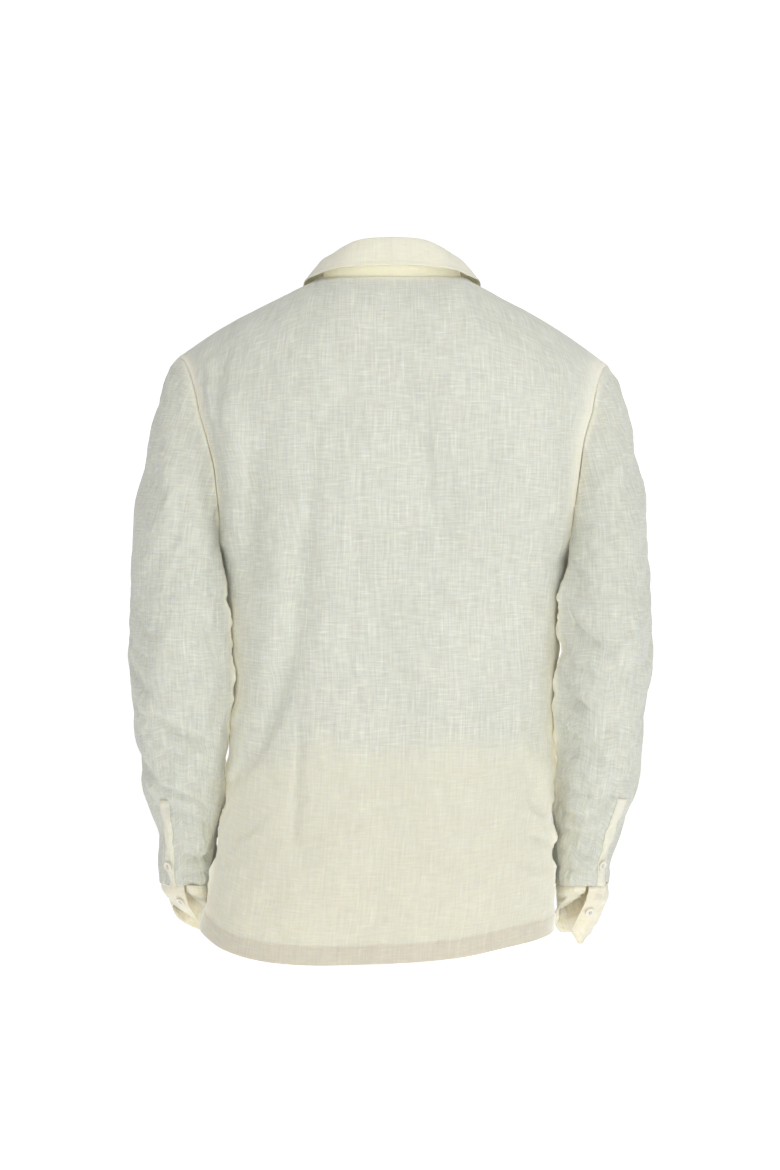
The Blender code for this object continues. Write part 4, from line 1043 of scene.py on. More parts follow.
# Smaller creases of a sleeve, in the crease columns: x is the angle here and z the height.
SLEEVE_CREASES = {
    "left": (
        (45.0, -0.330, 80.0, -0.365, 125.0, -0.410, 0.0060, 0.0034, 1),
        (20.0, -0.350, 45.0, -0.375, 70.0, -0.385, 0.0055, 0.0020, -1),
        (10.0, -0.378, 32.0, -0.400, 62.0, -0.412, 0.0055, 0.0022, 1),
        (35.0, -0.445, 75.0, -0.480, 130.0, -0.495, 0.0060, 0.0032, 1),
        (40.0, -0.480, 85.0, -0.512, 130.0, -0.530, 0.0055, 0.0028, -1),
        (10.0, -0.440, 28.0, -0.462, 48.0, -0.470, 0.0050, 0.0018, 1),
        (48.0, -0.545, 85.0, -0.552, 135.0, -0.578, 0.0042, 0.0046, 1),
        (66.0, -0.586, 100.0, -0.596, 140.0, -0.592, 0.0045, 0.0022, -1),
        (70.0, -0.618, 105.0, -0.622, 150.0, -0.616, 0.0038, 0.0030, 1),
        (66.0, -0.634, 100.0, -0.640, 150.0, -0.634, 0.0034, 0.0028, -1),
        (100.0, -0.200, 110.0, -0.240, 112.0, -0.290, 0.0055, 0.0016, 1),
        (60.0, -0.240, 66.0, -0.290, 64.0, -0.340, 0.0070, 0.0012, -1),
        (190.0, -0.360, 235.0, -0.390, 280.0, -0.400, 0.0060, 0.0028, 1),
        (195.0, -0.430, 240.0, -0.445, 290.0, -0.435, 0.0060, 0.0026, -1),
        (200.0, -0.510, 245.0, -0.525, 300.0, -0.515, 0.0060, 0.0024, 1),
        (205.0, -0.590, 250.0, -0.600, 310.0, -0.590, 0.0055, 0.0022, -1),
        (320.0, -0.340, 345.0, -0.370, 365.0, -0.380, 0.0055, 0.0018, 1),
        (315.0, -0.480, 340.0, -0.500, 362.0, -0.508, 0.0055, 0.0018, -1),
    ),
    "right": (
        (92.0, -0.272, 115.0, -0.268, 140.0, -0.275, 0.0045, 0.0018, 1),
        (85.0, -0.400, 118.0, -0.380, 158.0, -0.355, 0.0050, 0.0040, 1),
        (70.0, -0.392, 100.0, -0.385, 125.0, -0.372, 0.0045, 0.0016, -1),
        (95.0, -0.425, 125.0, -0.415, 158.0, -0.408, 0.0036, 0.0022, 1),
        (100.0, -0.444, 128.0, -0.434, 160.0, -0.428, 0.0034, 0.0020, -1),
        (90.0, -0.462, 122.0, -0.452, 160.0, -0.444, 0.0036, 0.0024, 1),
        (96.0, -0.480, 126.0, -0.470, 160.0, -0.462, 0.0034, 0.0020, 1),
        (88.0, -0.500, 122.0, -0.488, 160.0, -0.480, 0.0038, 0.0024, -1),
        (96.0, -0.516, 128.0, -0.506, 160.0, -0.500, 0.0034, 0.0018, 1),
        (84.0, -0.538, 120.0, -0.526, 160.0, -0.518, 0.0040, 0.0022, 1),
        (92.0, -0.556, 126.0, -0.548, 160.0, -0.540, 0.0034, 0.0018, -1),
        (72.0, -0.580, 110.0, -0.574, 160.0, -0.572, 0.0042, 0.0026, 1),
        (66.0, -0.602, 105.0, -0.594, 160.0, -0.592, 0.0042, 0.0028, 1),
        (60.0, -0.622, 95.0, -0.618, 150.0, -0.608, 0.0040, 0.0030, -1),
        (70.0, -0.640, 105.0, -0.636, 160.0, -0.630, 0.0034, 0.0026, 1),
        (20.0, -0.420, 45.0, -0.435, 66.0, -0.430, 0.0060, 0.0014, 1),
        (15.0, -0.520, 40.0, -0.535, 62.0, -0.528, 0.0055, 0.0014, -1),
        (190.0, -0.365, 235.0, -0.395, 280.0, -0.405, 0.0060, 0.0028, -1),
        (195.0, -0.440, 240.0, -0.455, 290.0, -0.445, 0.0060, 0.0026, 1),
        (200.0, -0.520, 245.0, -0.530, 300.0, -0.520, 0.0060, 0.0024, -1),
        (205.0, -0.585, 250.0, -0.596, 310.0, -0.588, 0.0055, 0.0022, 1),
    ),
}
SLEEVE_SEAM_WIDTH = 0.0065
SEAM_DOUBLED = 0.5
# The underarm seam's ridge toward the body: how far it stands out on either sleeve, and at which angle
SEAM_RIDGE_COLUMNS = ("height", "left", "right", "angle")
SEAM_RIDGE = (
    (-0.655, 0.0015, 0.0020, 172.0),
    (-0.620, 0.0020, 0.0055, 171.0),
    (-0.600, 0.0019, 0.0026, 170.0),
    (-0.580, 0.0021, 0.0054, 169.0),
    (-0.560, 0.0043, 0.0058, 169.0),
    (-0.540, 0.0045, 0.0072, 169.0),
    (-0.520, 0.0021, 0.0039, 168.0),
    (-0.500, 0.0053, 0.0053, 167.0),
    (-0.480, 0.0048, 0.0095, 166.0),
    (-0.460, 0.0085, 0.0100, 165.0),
    (-0.440, 0.0095, 0.0085, 165.0),
    (-0.420, 0.0100, 0.0100, 165.0),
    (-0.408, 0.0095, 0.0060, 165.0),
    (-0.395, 0.0090, 0.0010, 165.0),
    (-0.382, 0.0080, 0.0088, 164.0),
    (-0.360, 0.0102, 0.0105, 160.0),
    (-0.340, 0.0105, 0.0100, 155.0),
    (-0.320, 0.0085, 0.0080, 150.0),
    (-0.300, 0.0048, 0.0050, 146.0),
    (-0.250, 0.0000, 0.0000, 144.0),
    (-0.220, 0.0000, 0.0000, 146.0),
)
SEAM_RIDGE_WIDTH = 0.0120
CREST_WIDTH = 0.0045
# Waves down the underarm seam: length, depth and phase
SEAM_WAVES = ((0.057, 0.0009, 1.0), (0.033, 0.0008, 2.3), (0.019, 0.0005, 0.6), (0.0115, 0.0003, 4.0))
SEAM_WAVE_SET_BACK = 0.0009
CALM_REACH = 34.0
CALM_SHARE = 0.85
SLEEVE_CAP_ROWS = 34
SLEEVE_LOWER_ROWS = 112
SLEEVE_ANGLES = 116
SLEEVE_RADIUS = 0.06
RIDGE_BODY_SHARE = 0.8
SLEEVE_PUCKERS = 1.3
SLEEVE_PUCKER_WIDTH = 1.6
SLEEVE_RUMPLE = 2.1
# Painted light on the sleeves, paler and warmer with a faint emission: its width along the underarm seam's
# crest, and its share round the armhole
CREST_GLOW = 0.0060
ARMHOLE_GLOW = 0.5
GATHER_REACH = 0.016
GATHER_ANGLE = 17.0
GATHER_DEPTH = 0.0006
STRAIGHT_DOWN = np.array([0, 0, -1.0])
SEAM_WAVE_FADE = 0.03
FELL_PLACE = SLEEVE_SEAM_WIDTH / 2 - STITCH_INSET / 2
CAP_CALM = 0.08
GATHER_START = 0.002


def armhole(side, angle):
    """The body's armhole edge by the sleeve's angle: 0 at the shoulder, 90 behind, 180 at the armpit."""
    sign = 1 if side == "left" else -1
    angle = np.mod(np.asarray(angle, float), 360)
    is_behind = angle <= 180
    up = np.interp(np.where(is_behind, angle, 360 - angle), ARMHOLE_ANGLES, ARMHOLE_ROWS)
    behind = panel(sign + 0 * up, up, True, BACK_FOLDS)
    before = panel(sign + 0 * up, up, False, FRONT_FOLDS)
    return np.where(is_behind[..., None], behind, before)


def sleeve_ring(side, angle, height):
    """A level section of the sleeve below its cap: a flattened ellipse, pressed in at each fold."""
    read = {name: column(SLEEVE_COLUMNS, SLEEVES[side], name, height) for name in SLEEVE_COLUMNS[1:]}
    sign = 1 if side == "left" else -1
    push = np.zeros(np.broadcast(angle, height).shape)
    for row in SLEEVE_FOLDS[side]:
        fold = dict(zip(SLEEVE_FOLD_COLUMNS, row))
        turn = np.mod(angle - fold["angle0"] + SLEEVE_FOLD_LEAD_IN, 360) - SLEEVE_FOLD_LEAD_IN
        share = turn / (fold["angle1"] - fold["angle0"])
        centre = fold["height0"] + (fold["height1"] - fold["height0"]) * share
        window = np.sin(math.pi * np.clip(share, 0, 1)) ** FOLD_END_POWER
        push = push + fold["depth"] * np.exp(-(((height - centre) / fold["width"]) ** 2)) * window
    half_x = np.abs(read["outer"] - read["inner"]) / 2 - push
    half_y = (read["back"] - read["front"]) / 2 - push
    c = cosine(angle)
    s = sine(angle)
    x = (read["outer"] + read["inner"]) / 2 + sign * half_x * np.sign(c) * np.abs(c) ** SECTION_POWER
    x = x - sign * SLEEVE_LEAN[side] * s
    y = (read["back"] + read["front"]) / 2 + half_y * np.sign(s) * np.abs(s) ** SECTION_POWER
    return np.stack([x, y, height + 0 * x], axis=-1)


def sleeve(side, angle, down):
    """A point of a sleeve: 0 at the armhole, 1 where the cap ends and 2 at the wrist.

    The cap is a Hermite curve from the armhole, leaving it outward, to the first level section.
    """
    angle, down = np.broadcast_arrays(np.asarray(angle, float), np.asarray(down, float))
    sign = 1 if side == "left" else -1
    start = armhole(side, angle)
    end = sleeve_ring(side, angle, SLEEVE_CAP_END + 0 * angle)
    top = (1 + cosine(angle)) / 2
    outward = sign * (CAP_OUTWARD + CAP_OUTWARD_AT_TOP * top)
    leave = np.stack([outward, CAP_BACKWARD * sine(angle), CAP_FALL_LESS_AT_TOP * top - 1], axis=-1)
    leave = leave / np.linalg.norm(leave, axis=-1, keepdims=True)
    leave = leave * (1 - CAP_SHORTER_AT_TOP * top)[..., None]
    reach = np.linalg.norm(end - start, axis=-1, keepdims=True)
    start = start + np.stack([sign * SEAM_GAP + 0 * top, 0 * top, 0 * top], axis=-1)
    cap = hermite(np.clip(down, 0, 1)[..., None], start, reach * leave, end, reach * STRAIGHT_DOWN)
    height = SLEEVE_CAP_END + (WRIST_HEIGHT - SLEEVE_CAP_END) * np.clip(down - 1, 0, 1)
    lower = sleeve_ring(side, angle, height)
    return np.where((down < 1)[..., None], cap, lower)


def seam_distance(angle, z):
    """How far round the sleeve a point is from its underarm seam, in metres."""
    turned = np.mod(angle, 360)
    return (turned - column(SEAM_RIDGE_COLUMNS, SEAM_RIDGE, "angle", z)) * math.radians(1) * SLEEVE_RADIUS


def sleeve_relief(side, angle, down, points, seed):
    """The small forms of a sleeve: creases, rumples, the felled seam, its puckers, and the wrist gathers."""
    z = points[..., 2]
    turned = np.mod(angle, 360)
    radius = math.radians(1) * SLEEVE_RADIUS
    height = crease_push(turned, z, SLEEVE_CREASES[side], radius)
    height = height + crease_push(turned + 360, z, SLEEVE_CREASES[side], radius)
    around = np.radians(turned)
    uneven = rumple(SLEEVE_RADIUS * np.cos(around), z + SLEEVE_RADIUS * np.sin(around), seed)
    calm = 1 - CALM_SHARE * np.exp(-(((turned - 180) / CALM_REACH) ** 2))
    height = (height + SLEEVE_RUMPLE * uneven) * calm * np.clip(down / CAP_CALM, 0, 1)
    seam = seam_distance(angle, z)
    on_seam = band(np.abs(seam), SLEEVE_SEAM_WIDTH / 2)
    ridge = column(SEAM_RIDGE_COLUMNS, SEAM_RIDGE, side, z)
    uneven = -SEAM_WAVE_SET_BACK
    for length, depth, phase in SEAM_WAVES:
        uneven = uneven + depth * np.sin(2 * math.pi * z / length + phase + seed + np.sin(z / length))
    wide = seam / (SEAM_RIDGE_WIDTH * np.where(seam > 0, RIDGE_BODY_SHARE, 1.0))
    below_armpit = np.clip((SLEEVE_CAP_END - z) / SEAM_WAVE_FADE + 1, 0, 1)
    height = height + ridge * np.exp(-(wide**2))
    height = height + uneven * below_armpit * line(seam, 0, CREST_WIDTH)
    height = height + FELL_RISE * on_seam
    for place in (-FELL_PLACE, FELL_PLACE):
        height = height - GROOVE_DEPTH * line(seam, place, GROOVE_WIDTH)
    puckers = waver(z, seed) * line(seam, 0, SLEEVE_PUCKER_WIDTH * PUCKER_REACH)
    height = height + SLEEVE_PUCKERS * PUCKER_HEIGHT * puckers
    from_wrist = z - WRIST_HEIGHT
    gather = GATHER_DEPTH * np.sin(np.radians(360 / GATHER_ANGLE * turned) + 2 * np.sin(around * 3))
    gather = gather * np.exp(-((from_wrist / GATHER_REACH) ** 2))
    height = height + gather * np.clip(from_wrist / GATHER_START, 0, 1)
    # Painted light along the seam's crest below the armpit, lifting the shade between sleeve and body
    painted_crest_light = np.exp(-((seam / CREST_GLOW) ** 2)) * below_armpit
    return height, SEAM_DOUBLED * on_seam, painted_crest_light


sleeve_grids = {}
for side, seed in (("left", 4.2), ("right", 5.9)):
    sign = 1 if side == "left" else -1
    turn = SLEEVE_SLIT_ANGLE + np.linspace(0, 360, SLEEVE_ANGLES + 1)
    downs = np.concatenate(
        [np.linspace(0, 1, SLEEVE_CAP_ROWS + 1)[:-1], 1 + np.linspace(0, 1, SLEEVE_LOWER_ROWS)]
    )
    down, angle = np.meshgrid(downs, turn, indexing="ij")
    points = sleeve(side, angle, down)
    is_open = points[:, 0, 2] < SLEEVE_SLIT_TOP
    angle = angle.copy()
    angle[is_open, 0] += SLEEVE_SLIT_HALF_TURN
    angle[is_open, -1] -= SLEEVE_SLIT_HALF_TURN
    points = sleeve(side, angle, down)
    outward = points[len(points) // 2, len(turn) // 2] - points[len(points) // 2, 0]
    facing = facing_out(points, outward)
    height, doubled, painted_crest_light = sleeve_relief(side, angle, down, points, seed)
    # Painted light round the armhole as well
    painted_crest_light = np.maximum(painted_crest_light, ARMHOLE_GLOW * np.exp(-((lengths(points, 0) / GLOW_LEFT) ** 2)))
    points = points + facing * height[..., None]
    points[~is_open, -1] = points[~is_open, 0]
    piece = add_cloth(
        f"sleeve_{side}_cloth",
        points,
        outward,
        CLOTH,
        CLOTH_THICKNESS,
        doubled,
        shut=np.flatnonzero(~is_open),
        grain=SLEEVE_CAP_ROWS,
        painted_light=painted_crest_light,
    )
    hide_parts(f"sleeve_{side}")
    sleeve_grids[side] = (points, down, seed)
    seam = seam_distance(angle, points[..., 2])
    seams = [row_at(points, facing, seam, place, 1) for place in (-FELL_PLACE, FELL_PLACE)]
    stitches = add_stitches(f"sleeve_{side}_stitches", seams, THREAD)

# The sleeve plackets.
# A doubled strip folded over the slit above each cuff, box-stitched across its top and carrying one
# small button in its lower half.

SLEEVE_PLACKET_TOP = -0.556
SLEEVE_PLACKET_HALF = 0.0095
SLEEVE_PLACKET_THICKNESS = 0.0013
# Waves down a placket: length, and how many degrees to either side
PLACKET_WAVE = ((0.031, 0.7), (0.013, 0.5))
PLACKET_PUCKERS = 1.5
PLACKET_PUCKER_SEED = 6.0
SLEEVE_PLACKET_COLUMNS = 17
PLACKET_BOX = 0.017
STRIP_CLOTH = slub_cloth("strip_cloth", (0.865, 0.835, 0.700), (1.0, 1.0, 1.0), 0.09, 0.0007)

sleeve_buttons = {}
for side in ("left", "right"):
    sign = 1 if side == "left" else -1
    points, down, seed = sleeve_grids[side]
    chosen = points[:, 0, 2] < SLEEVE_PLACKET_TOP
    half_turn = math.degrees(SLEEVE_PLACKET_HALF / SLEEVE_RADIUS)
    turn = SLEEVE_SLIT_ANGLE + np.linspace(-half_turn, half_turn, SLEEVE_PLACKET_COLUMNS)
    down_rows, angle_columns = np.meshgrid(down[chosen, 0], turn, indexing="ij")
    levels = points[chosen, :1, 2]
    for length, degrees in PLACKET_WAVE:
        angle_columns = angle_columns + degrees * np.sin(2 * math.pi * levels / length + sign)
    strip = sleeve(side, angle_columns, down_rows)
    outward = np.array([sign, 1.0, 0])
    strip_facing = facing_out(strip, outward)
    strip_side = lengths(strip, 1)
    edge = np.minimum(strip_side, strip_side[:, -1:] - strip_side)
    from_top = lengths(strip, 0)
    relief = sleeve_relief(side, angle_columns, down_rows, strip, seed)[0]
    relief = relief - GROOVE_DEPTH * FELL_SHARE * line(edge, STITCH_INSET, GROOVE_WIDTH)
    puckers = waver(from_top, PLACKET_PUCKER_SEED) * line(edge, 0, PUCKER_REACH)
    relief = relief + PLACKET_PUCKERS * PUCKER_HEIGHT * puckers
    for place in (STITCH_INSET, PLACKET_BOX):
        relief = relief - GROOVE_DEPTH * FELL_SHARE * line(from_top, place, GROOVE_WIDTH)
    lift = SLEEVE_PLACKET_THICKNESS + SKIN_GAP
    over = strip + strip_facing * (lift + relief)[..., None]
    piece = add_cloth(f"sleeve_placket_{side}_cloth", over, outward, STRIP_CLOTH, SLEEVE_PLACKET_THICKNESS)
    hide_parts(f"sleeve_placket_{side}")
    seams = strip_seams(over, strip_facing, strip_side, from_top, (STITCH_INSET, PLACKET_BOX))
    stitches = add_stitches(f"sleeve_placket_{side}_stitches", seams, THREAD)
    sleeve_buttons[side] = (over, strip_facing)

# The cuffs.
# Each is a doubled band sewn round the end of the sleeve. Both are worn undone, so the overlap end
# hangs away and the inside shows.

CUFF_OVERLAP_ANGLE = 75.0
CUFF_TURN = 354.0
CUFF_COLUMNS = ("share", "x", "y", "height")
CUFFS = {
    "left": (
        (0.00, 0.2120, -0.006, -0.6910),
        (0.12, 0.2250, -0.012, -0.6830),
        (0.28, 0.2405, -0.032, -0.6760),
        (0.45, 0.2380, -0.064, -0.6930),
        (0.62, 0.2180, -0.080, -0.7060),
        (0.78, 0.2040, -0.066, -0.7040),
        (0.90, 0.2060, -0.042, -0.6830),
        (1.00, 0.2200, -0.018, -0.6640),
    ),
    "right": (
        (0.00, -0.1950, -0.004, -0.7040),
        (0.10, -0.2040, -0.008, -0.7170),
        (0.25, -0.2160, -0.026, -0.7080),
        (0.45, -0.2180, -0.060, -0.7060),
        (0.62, -0.2010, -0.076, -0.7090),
        (0.78, -0.1830, -0.064, -0.7060),
        (0.90, -0.1800, -0.038, -0.6860),
        (1.00, -0.2020, -0.018, -0.6680),
    ),
}
CUFF_ROWS = 26
CUFF_ANGLES = 92
CUFF_THICKNESS = 0.0012
# Creases of a cuff, in the crease columns: x runs round it from its overlap end, z down from the wrist.
CUFF_CREASES = {
    "left": (
        (0.004, 0.012, 0.018, 0.020, 0.036, 0.018, 0.0050, 0.0016, 1),
        (0.060, 0.010, 0.072, 0.026, 0.080, 0.044, 0.0060, 0.0018, -1),
        (0.185, 0.008, 0.200, 0.022, 0.222, 0.030, 0.0050, 0.0018, 1),
    ),
    "right": (
        (0.002, 0.014, 0.016, 0.010, 0.032, 0.016, 0.0045, 0.0024, 1),
        (0.004, 0.030, 0.018, 0.023, 0.036, 0.028, 0.0045, 0.0022, -1),
        (0.052, 0.008, 0.064, 0.026, 0.070, 0.048, 0.0060, 0.0022, -1),
        (0.170, 0.012, 0.190, 0.018, 0.214, 0.010, 0.0050, 0.0026, 1),
        (0.180, 0.036, 0.198, 0.030, 0.222, 0.026, 0.0050, 0.0022, -1),
    ),
}
CUFF_RUMPLE = {"left": 0.8, "right": 1.6}
CUFF_INSET = 1.5 * STITCH_INSET
CUFF_CALM = 0.002
# The cuffs' cloth is paler as doubled cloth, and painted yellower: painted light, standing in for the golden
# glow of light through the thin cloth in the cuffs' shaded insides
CUFF_GLOW_CLOTH = slub_cloth("cuff_painted_glow_cloth", (0.885, 0.835, 0.675), (1.0, 1.0, 1.0), 0.08, 0.0009)


def cuff(side, angle, down):
    """A point of an open cuff: a Hermite curve from the wrist seam down to the cuff's free edge."""
    angle, down = np.broadcast_arrays(np.asarray(angle, float), np.asarray(down, float))
    share = (CUFF_OVERLAP_ANGLE - angle) / CUFF_TURN
    start = sleeve(side, angle, 2 + 0 * angle) - np.array([0, 0, SEAM_GAP])
    end = np.stack(
        [column(CUFF_COLUMNS, CUFFS[side], name, share) for name in CUFF_COLUMNS[1:]], axis=-1
    )
    reach = np.linalg.norm(end - start, axis=-1, keepdims=True)
    return hermite(down[..., None], start, reach * STRAIGHT_DOWN, end, end - start)


cuff_grids = {}
for side, seed in (("left", 7.1), ("right", 8.4)):
    turn = np.linspace(CUFF_OVERLAP_ANGLE, CUFF_OVERLAP_ANGLE - CUFF_TURN, CUFF_ANGLES)
    down, angle = np.meshgrid(np.linspace(0, 1, CUFF_ROWS), turn, indexing="ij")
    points = cuff(side, angle, down)
    outward = points[CUFF_ROWS // 2, CUFF_ANGLES // 2] - points.mean(axis=(0, 1))
    facing = facing_out(points, outward)
    from_end = lengths(points, 1)
    ends = np.minimum(from_end, from_end[:, -1:] - from_end)
    from_top = lengths(points, 0)
    border = np.minimum(np.minimum(ends, from_top), from_top[-1:] - from_top)
    relief = -GROOVE_DEPTH * line(border, CUFF_INSET, GROOVE_WIDTH)
    relief = relief + crease_push(from_end, from_top, CUFF_CREASES[side])
    relief = relief + CUFF_RUMPLE[side] * rumple(points[..., 0] + points[..., 1], points[..., 2], seed)
    relief = relief + PUCKER_HEIGHT * waver(from_end, seed) * line(border, 0, PUCKER_REACH)
    points = points + facing * (relief * np.clip(from_top / CUFF_CALM, 0, 1))[..., None]
    piece = add_cloth(f"cuff_{side}_cloth", points, outward, CUFF_GLOW_CLOTH, CUFF_THICKNESS)
    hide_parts(f"cuff_{side}")
    seams = [row_at(points, facing, from_top, CUFF_INSET, 0)]
    seams.append(row_at(points, facing, from_top[-1:] - from_top, CUFF_INSET, 0))
    stitches = add_stitches(f"cuff_{side}_stitches", seams, THREAD)
    cuff_grids[side] = (points, facing)

# The collar.
# A stand is sewn round the neckline and the fall is sewn to its upper edge and turned down over it. Both
# are doubled cloth, the fall stitched near its free edge.

STAND_SET_IN = 0.985
COLLAR_WALL = 0.0018
COLLAR_GAP = 0.0008
COLLAR_THICKNESS = 0.0013
COLLAR_END_ANGLE = 176.0
FALL_ROLL = 0.45
FALL_ARRIVAL = 0.9
COLLAR_COLUMNS = ("angle", "stand_height", "stand_lean", "edge_x", "edge_y", "edge_height")
COLLAR = (
    (0.0, 0.0410, 0.005, 0.0000, 0.0725, 0.0158),
    (30.0, 0.0380, 0.006, 0.0440, 0.0655, 0.0148),
    (50.0, 0.0310, 0.008, 0.0680, 0.0530, 0.0125),
    (70.0, 0.0230, 0.007, 0.0850, 0.0310, 0.0075),
    (90.0, 0.0190, 0.003, 0.0950, -0.0030, 0.0050),
    (103.0, 0.0190, 0.002, 0.0975, -0.0300, 0.0015),
    (115.0, 0.0200, 0.001, 0.0965, -0.0560, -0.0040),
    (127.0, 0.0215, 0.001, 0.0900, -0.0800, -0.0260),
    (140.0, 0.0230, 0.002, 0.0800, -0.1030, -0.0560),
    (160.0, 0.0260, 0.003, 0.0600, -0.1270, -0.1050),
    (176.0, 0.0280, 0.004, 0.0460, -0.1365, -0.1370),
)
COLLAR_ANGLES = 141
STAND_ROWS = 12
FALL_ROWS = 30
FALL_STITCH = 0.0055
FALL_RUMPLE = 0.35
FALL_CALM = 0.004
FALL_SEED = 9.2
FALL_RUMPLE_STRETCH = 1.4


def neck(angle):
    """The neck seam: two half ellipses, behind and in front, with the angle from the middle of the back."""
    is_back = np.abs(angle) <= 90
    depth = np.where(is_back, NECK_BACK_DEPTH, NECK_FRONT_DEPTH)
    middle_height = np.where(is_back, NECK_BACK_HEIGHT, NECK_FRONT_HEIGHT)
    fall = np.abs(cosine(angle)) ** NECKLINE_POWER
    z = NECK_POINT_HEIGHT + (middle_height - NECK_POINT_HEIGHT) * fall
    return np.stack([NECK_HALF_WIDTH * sine(angle), depth * cosine(angle), z], axis=-1)


def collar_stand(angle, up):
    """A point of the stand: straight up from the neck seam, leaning in a little."""
    angle, up = np.broadcast_arrays(np.asarray(angle, float), np.asarray(up, float))
    around = np.abs(angle)
    base = neck(angle) * np.array([STAND_SET_IN, STAND_SET_IN, 1])
    height = column(COLLAR_COLUMNS, COLLAR, "stand_height", around)
    lean = column(COLLAR_COLUMNS, COLLAR, "stand_lean", around)
    out = np.stack([sine(angle), cosine(angle), 0 * angle], axis=-1)
    rise = np.stack([0 * up, 0 * up, SEAM_GAP + up * height], axis=-1)
    return base + rise - out * (lean * up)[..., None]


def collar_fall(angle, down):
    """A point of the fall: over the stand's top edge, then out and down to the free edge."""
    angle, down = np.broadcast_arrays(np.asarray(angle, float), np.asarray(down, float))
    around = np.abs(angle)
    out = np.stack([sine(angle), cosine(angle), 0 * angle], axis=-1)
    top = collar_stand(angle, 1 + 0 * angle) + np.array([0, 0, COLLAR_WALL + COLLAR_GAP])
    edge = np.stack(
        [column(COLLAR_COLUMNS, COLLAR, name, around) for name in ("edge_x", "edge_y", "edge_height")],
        axis=-1,
    )
    edge[..., 0] *= np.sign(angle)
    reach = np.linalg.norm(edge - top, axis=-1, keepdims=True)
    return hermite(down[..., None], top, out * FALL_ROLL * reach, edge, (edge - top) * FALL_ARRIVAL)


turn = np.linspace(-COLLAR_END_ANGLE, COLLAR_END_ANGLE, COLLAR_ANGLES)
up, angle = np.meshgrid(np.linspace(0, 1, STAND_ROWS), turn, indexing="ij")
stand = collar_stand(angle, up)
# The whole stand is painted with light, paler and warmer with a faint emission, lifting the shade under the
# fall
stand_piece = add_cloth("collar_stand_cloth", stand, BACKWARD, DOUBLED, COLLAR_THICKNESS, painted_light=1.0)
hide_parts("collar_stand")

down, angle = np.meshgrid(np.linspace(0, 1, FALL_ROWS), turn, indexing="ij")
fall = collar_fall(angle, down)
fall_facing = facing_out(fall, BACKWARD)
from_fold = lengths(fall, 0)
from_edge = from_fold[-1:] - from_fold
ends = lengths(fall, 1)
border = np.minimum(np.minimum(ends, ends[:, -1:] - ends), from_edge)
uneven = rumple(fall[..., 0] * FALL_RUMPLE_STRETCH, fall[..., 2] + fall[..., 1], FALL_SEED)
relief = FALL_RUMPLE * uneven
relief = relief - GROOVE_DEPTH * FELL_SHARE * line(border, FALL_STITCH, GROOVE_WIDTH)
relief = relief * np.clip(from_fold / FALL_CALM, 0, 1)
fall = fall + fall_facing * relief[..., None]
fall_piece = add_cloth("collar_fall_cloth", fall, BACKWARD, DOUBLED, COLLAR_THICKNESS)
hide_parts("collar_fall")
fall_stitches = add_stitches(
    "collar_fall_stitches", [row_at(fall, fall_facing, from_edge, FALL_STITCH, 0)], THREAD
)

# The buttons.
# Turned shell buttons with a rounded rim, a shallow dish and four holes, sewn on with crossed thread. The
# holes are not cut: each is a thin dark disc on the dish, painted shade. The placket ones are fastened and
# the cuff ones hang undone.

BUTTON_RADIUS = 0.0056
BUTTON_THICKNESS = 0.0022
BUTTON_LIFT = 0.0006
# The turned profile: shares of the radius and of the thickness
BUTTON_PROFILE = (
    (0.02, 0.00),
    (0.80, 0.00),
    (0.95, 0.14),
    (1.00, 0.45),
    (0.97, 0.80),
    (0.88, 0.98),
    (0.76, 0.98),
    (0.66, 0.80),
    (0.60, 0.72),
    (0.02, 0.72),
)
BUTTON_SIDES = 40
HOLE_RADIUS = 0.00075
HOLE_PLACE = 0.00145
HOLE_RISE = 0.00012
HOLE_SIDES = 12
HOLE_TAPER = 0.9
HOLE_ANGLES = (45, 135, 225, 315)
# The sewing thread over the button: two crossed bars from hole to hole, the first one on top. A bar's
# profile is its radius and the place along it, and each bar has its angle and its lift.
BAR = ((0.00026, -1.0), (0.00030, -0.4), (0.00030, 0.4), (0.00026, 1.0))
BAR_SIDES = 8
BARS = ((45, 0.00028), (135, 0.00016))
# Where the buttons sit: heights in front, the row of a sleeve placket, the row and column of a cuff
FRONT_BUTTON_HEIGHTS = (-0.130, -0.200, -0.270)
SLEEVE_BUTTON_ROW = -9
CUFF_BUTTON = (12, 5)

SHELL = bpy.data.materials.new("button_shell")
SHELL.use_nodes = True
shell_nodes = SHELL.node_tree.nodes
shell_links = SHELL.node_tree.links
shell_shader = shell_nodes["Principled BSDF"]
shell_shader.inputs["Roughness"].default_value = 0.28
shell_shader.inputs["Coat Weight"].default_value = 0.25
shell_place = shell_nodes.new("ShaderNodeTexCoord")
shell_noise = shell_nodes.new("ShaderNodeTexNoise")
shell_noise.inputs["Scale"].default_value = 380.0
shell_links.new(shell_place.outputs["Object"], shell_noise.inputs["Vector"])
shell_tone = shell_nodes.new("ShaderNodeMix")
shell_tone.data_type = "RGBA"
shell_tone.inputs["A"].default_value = (0.79, 0.76, 0.65, 1.0)
shell_tone.inputs["B"].default_value = (0.87, 0.84, 0.74, 1.0)
shell_links.new(shell_noise.outputs["Fac"], shell_tone.inputs["Factor"])
shell_links.new(shell_tone.outputs["Result"], shell_shader.inputs["Base Color"])
# The holes' colour: painted shade, standing in for the shade inside the holes
HOLE_SHADE = plain_material("button_hole_shade", (0.34, 0.31, 0.24), 0.9)


def lathe(profile, sides):
    """A closed turned shape: each place of the profile becomes a ring, and the ends are closed by fans."""
    angles = np.arange(sides) * 2 * math.pi / sides
    rings = np.array([[(r * np.cos(a), r * np.sin(a), h) for a in angles] for r, h in profile])
    index = np.arange(len(profile) * sides).reshape(len(profile), sides)
    after = np.roll(index, -1, axis=1)
    quads = np.stack([index[:-1], after[:-1], after[1:], index[1:]], axis=-1).reshape(-1, 4).tolist()
    return rings.reshape(-1, 3), quads + [index[0][::-1].tolist(), index[-1].tolist()]


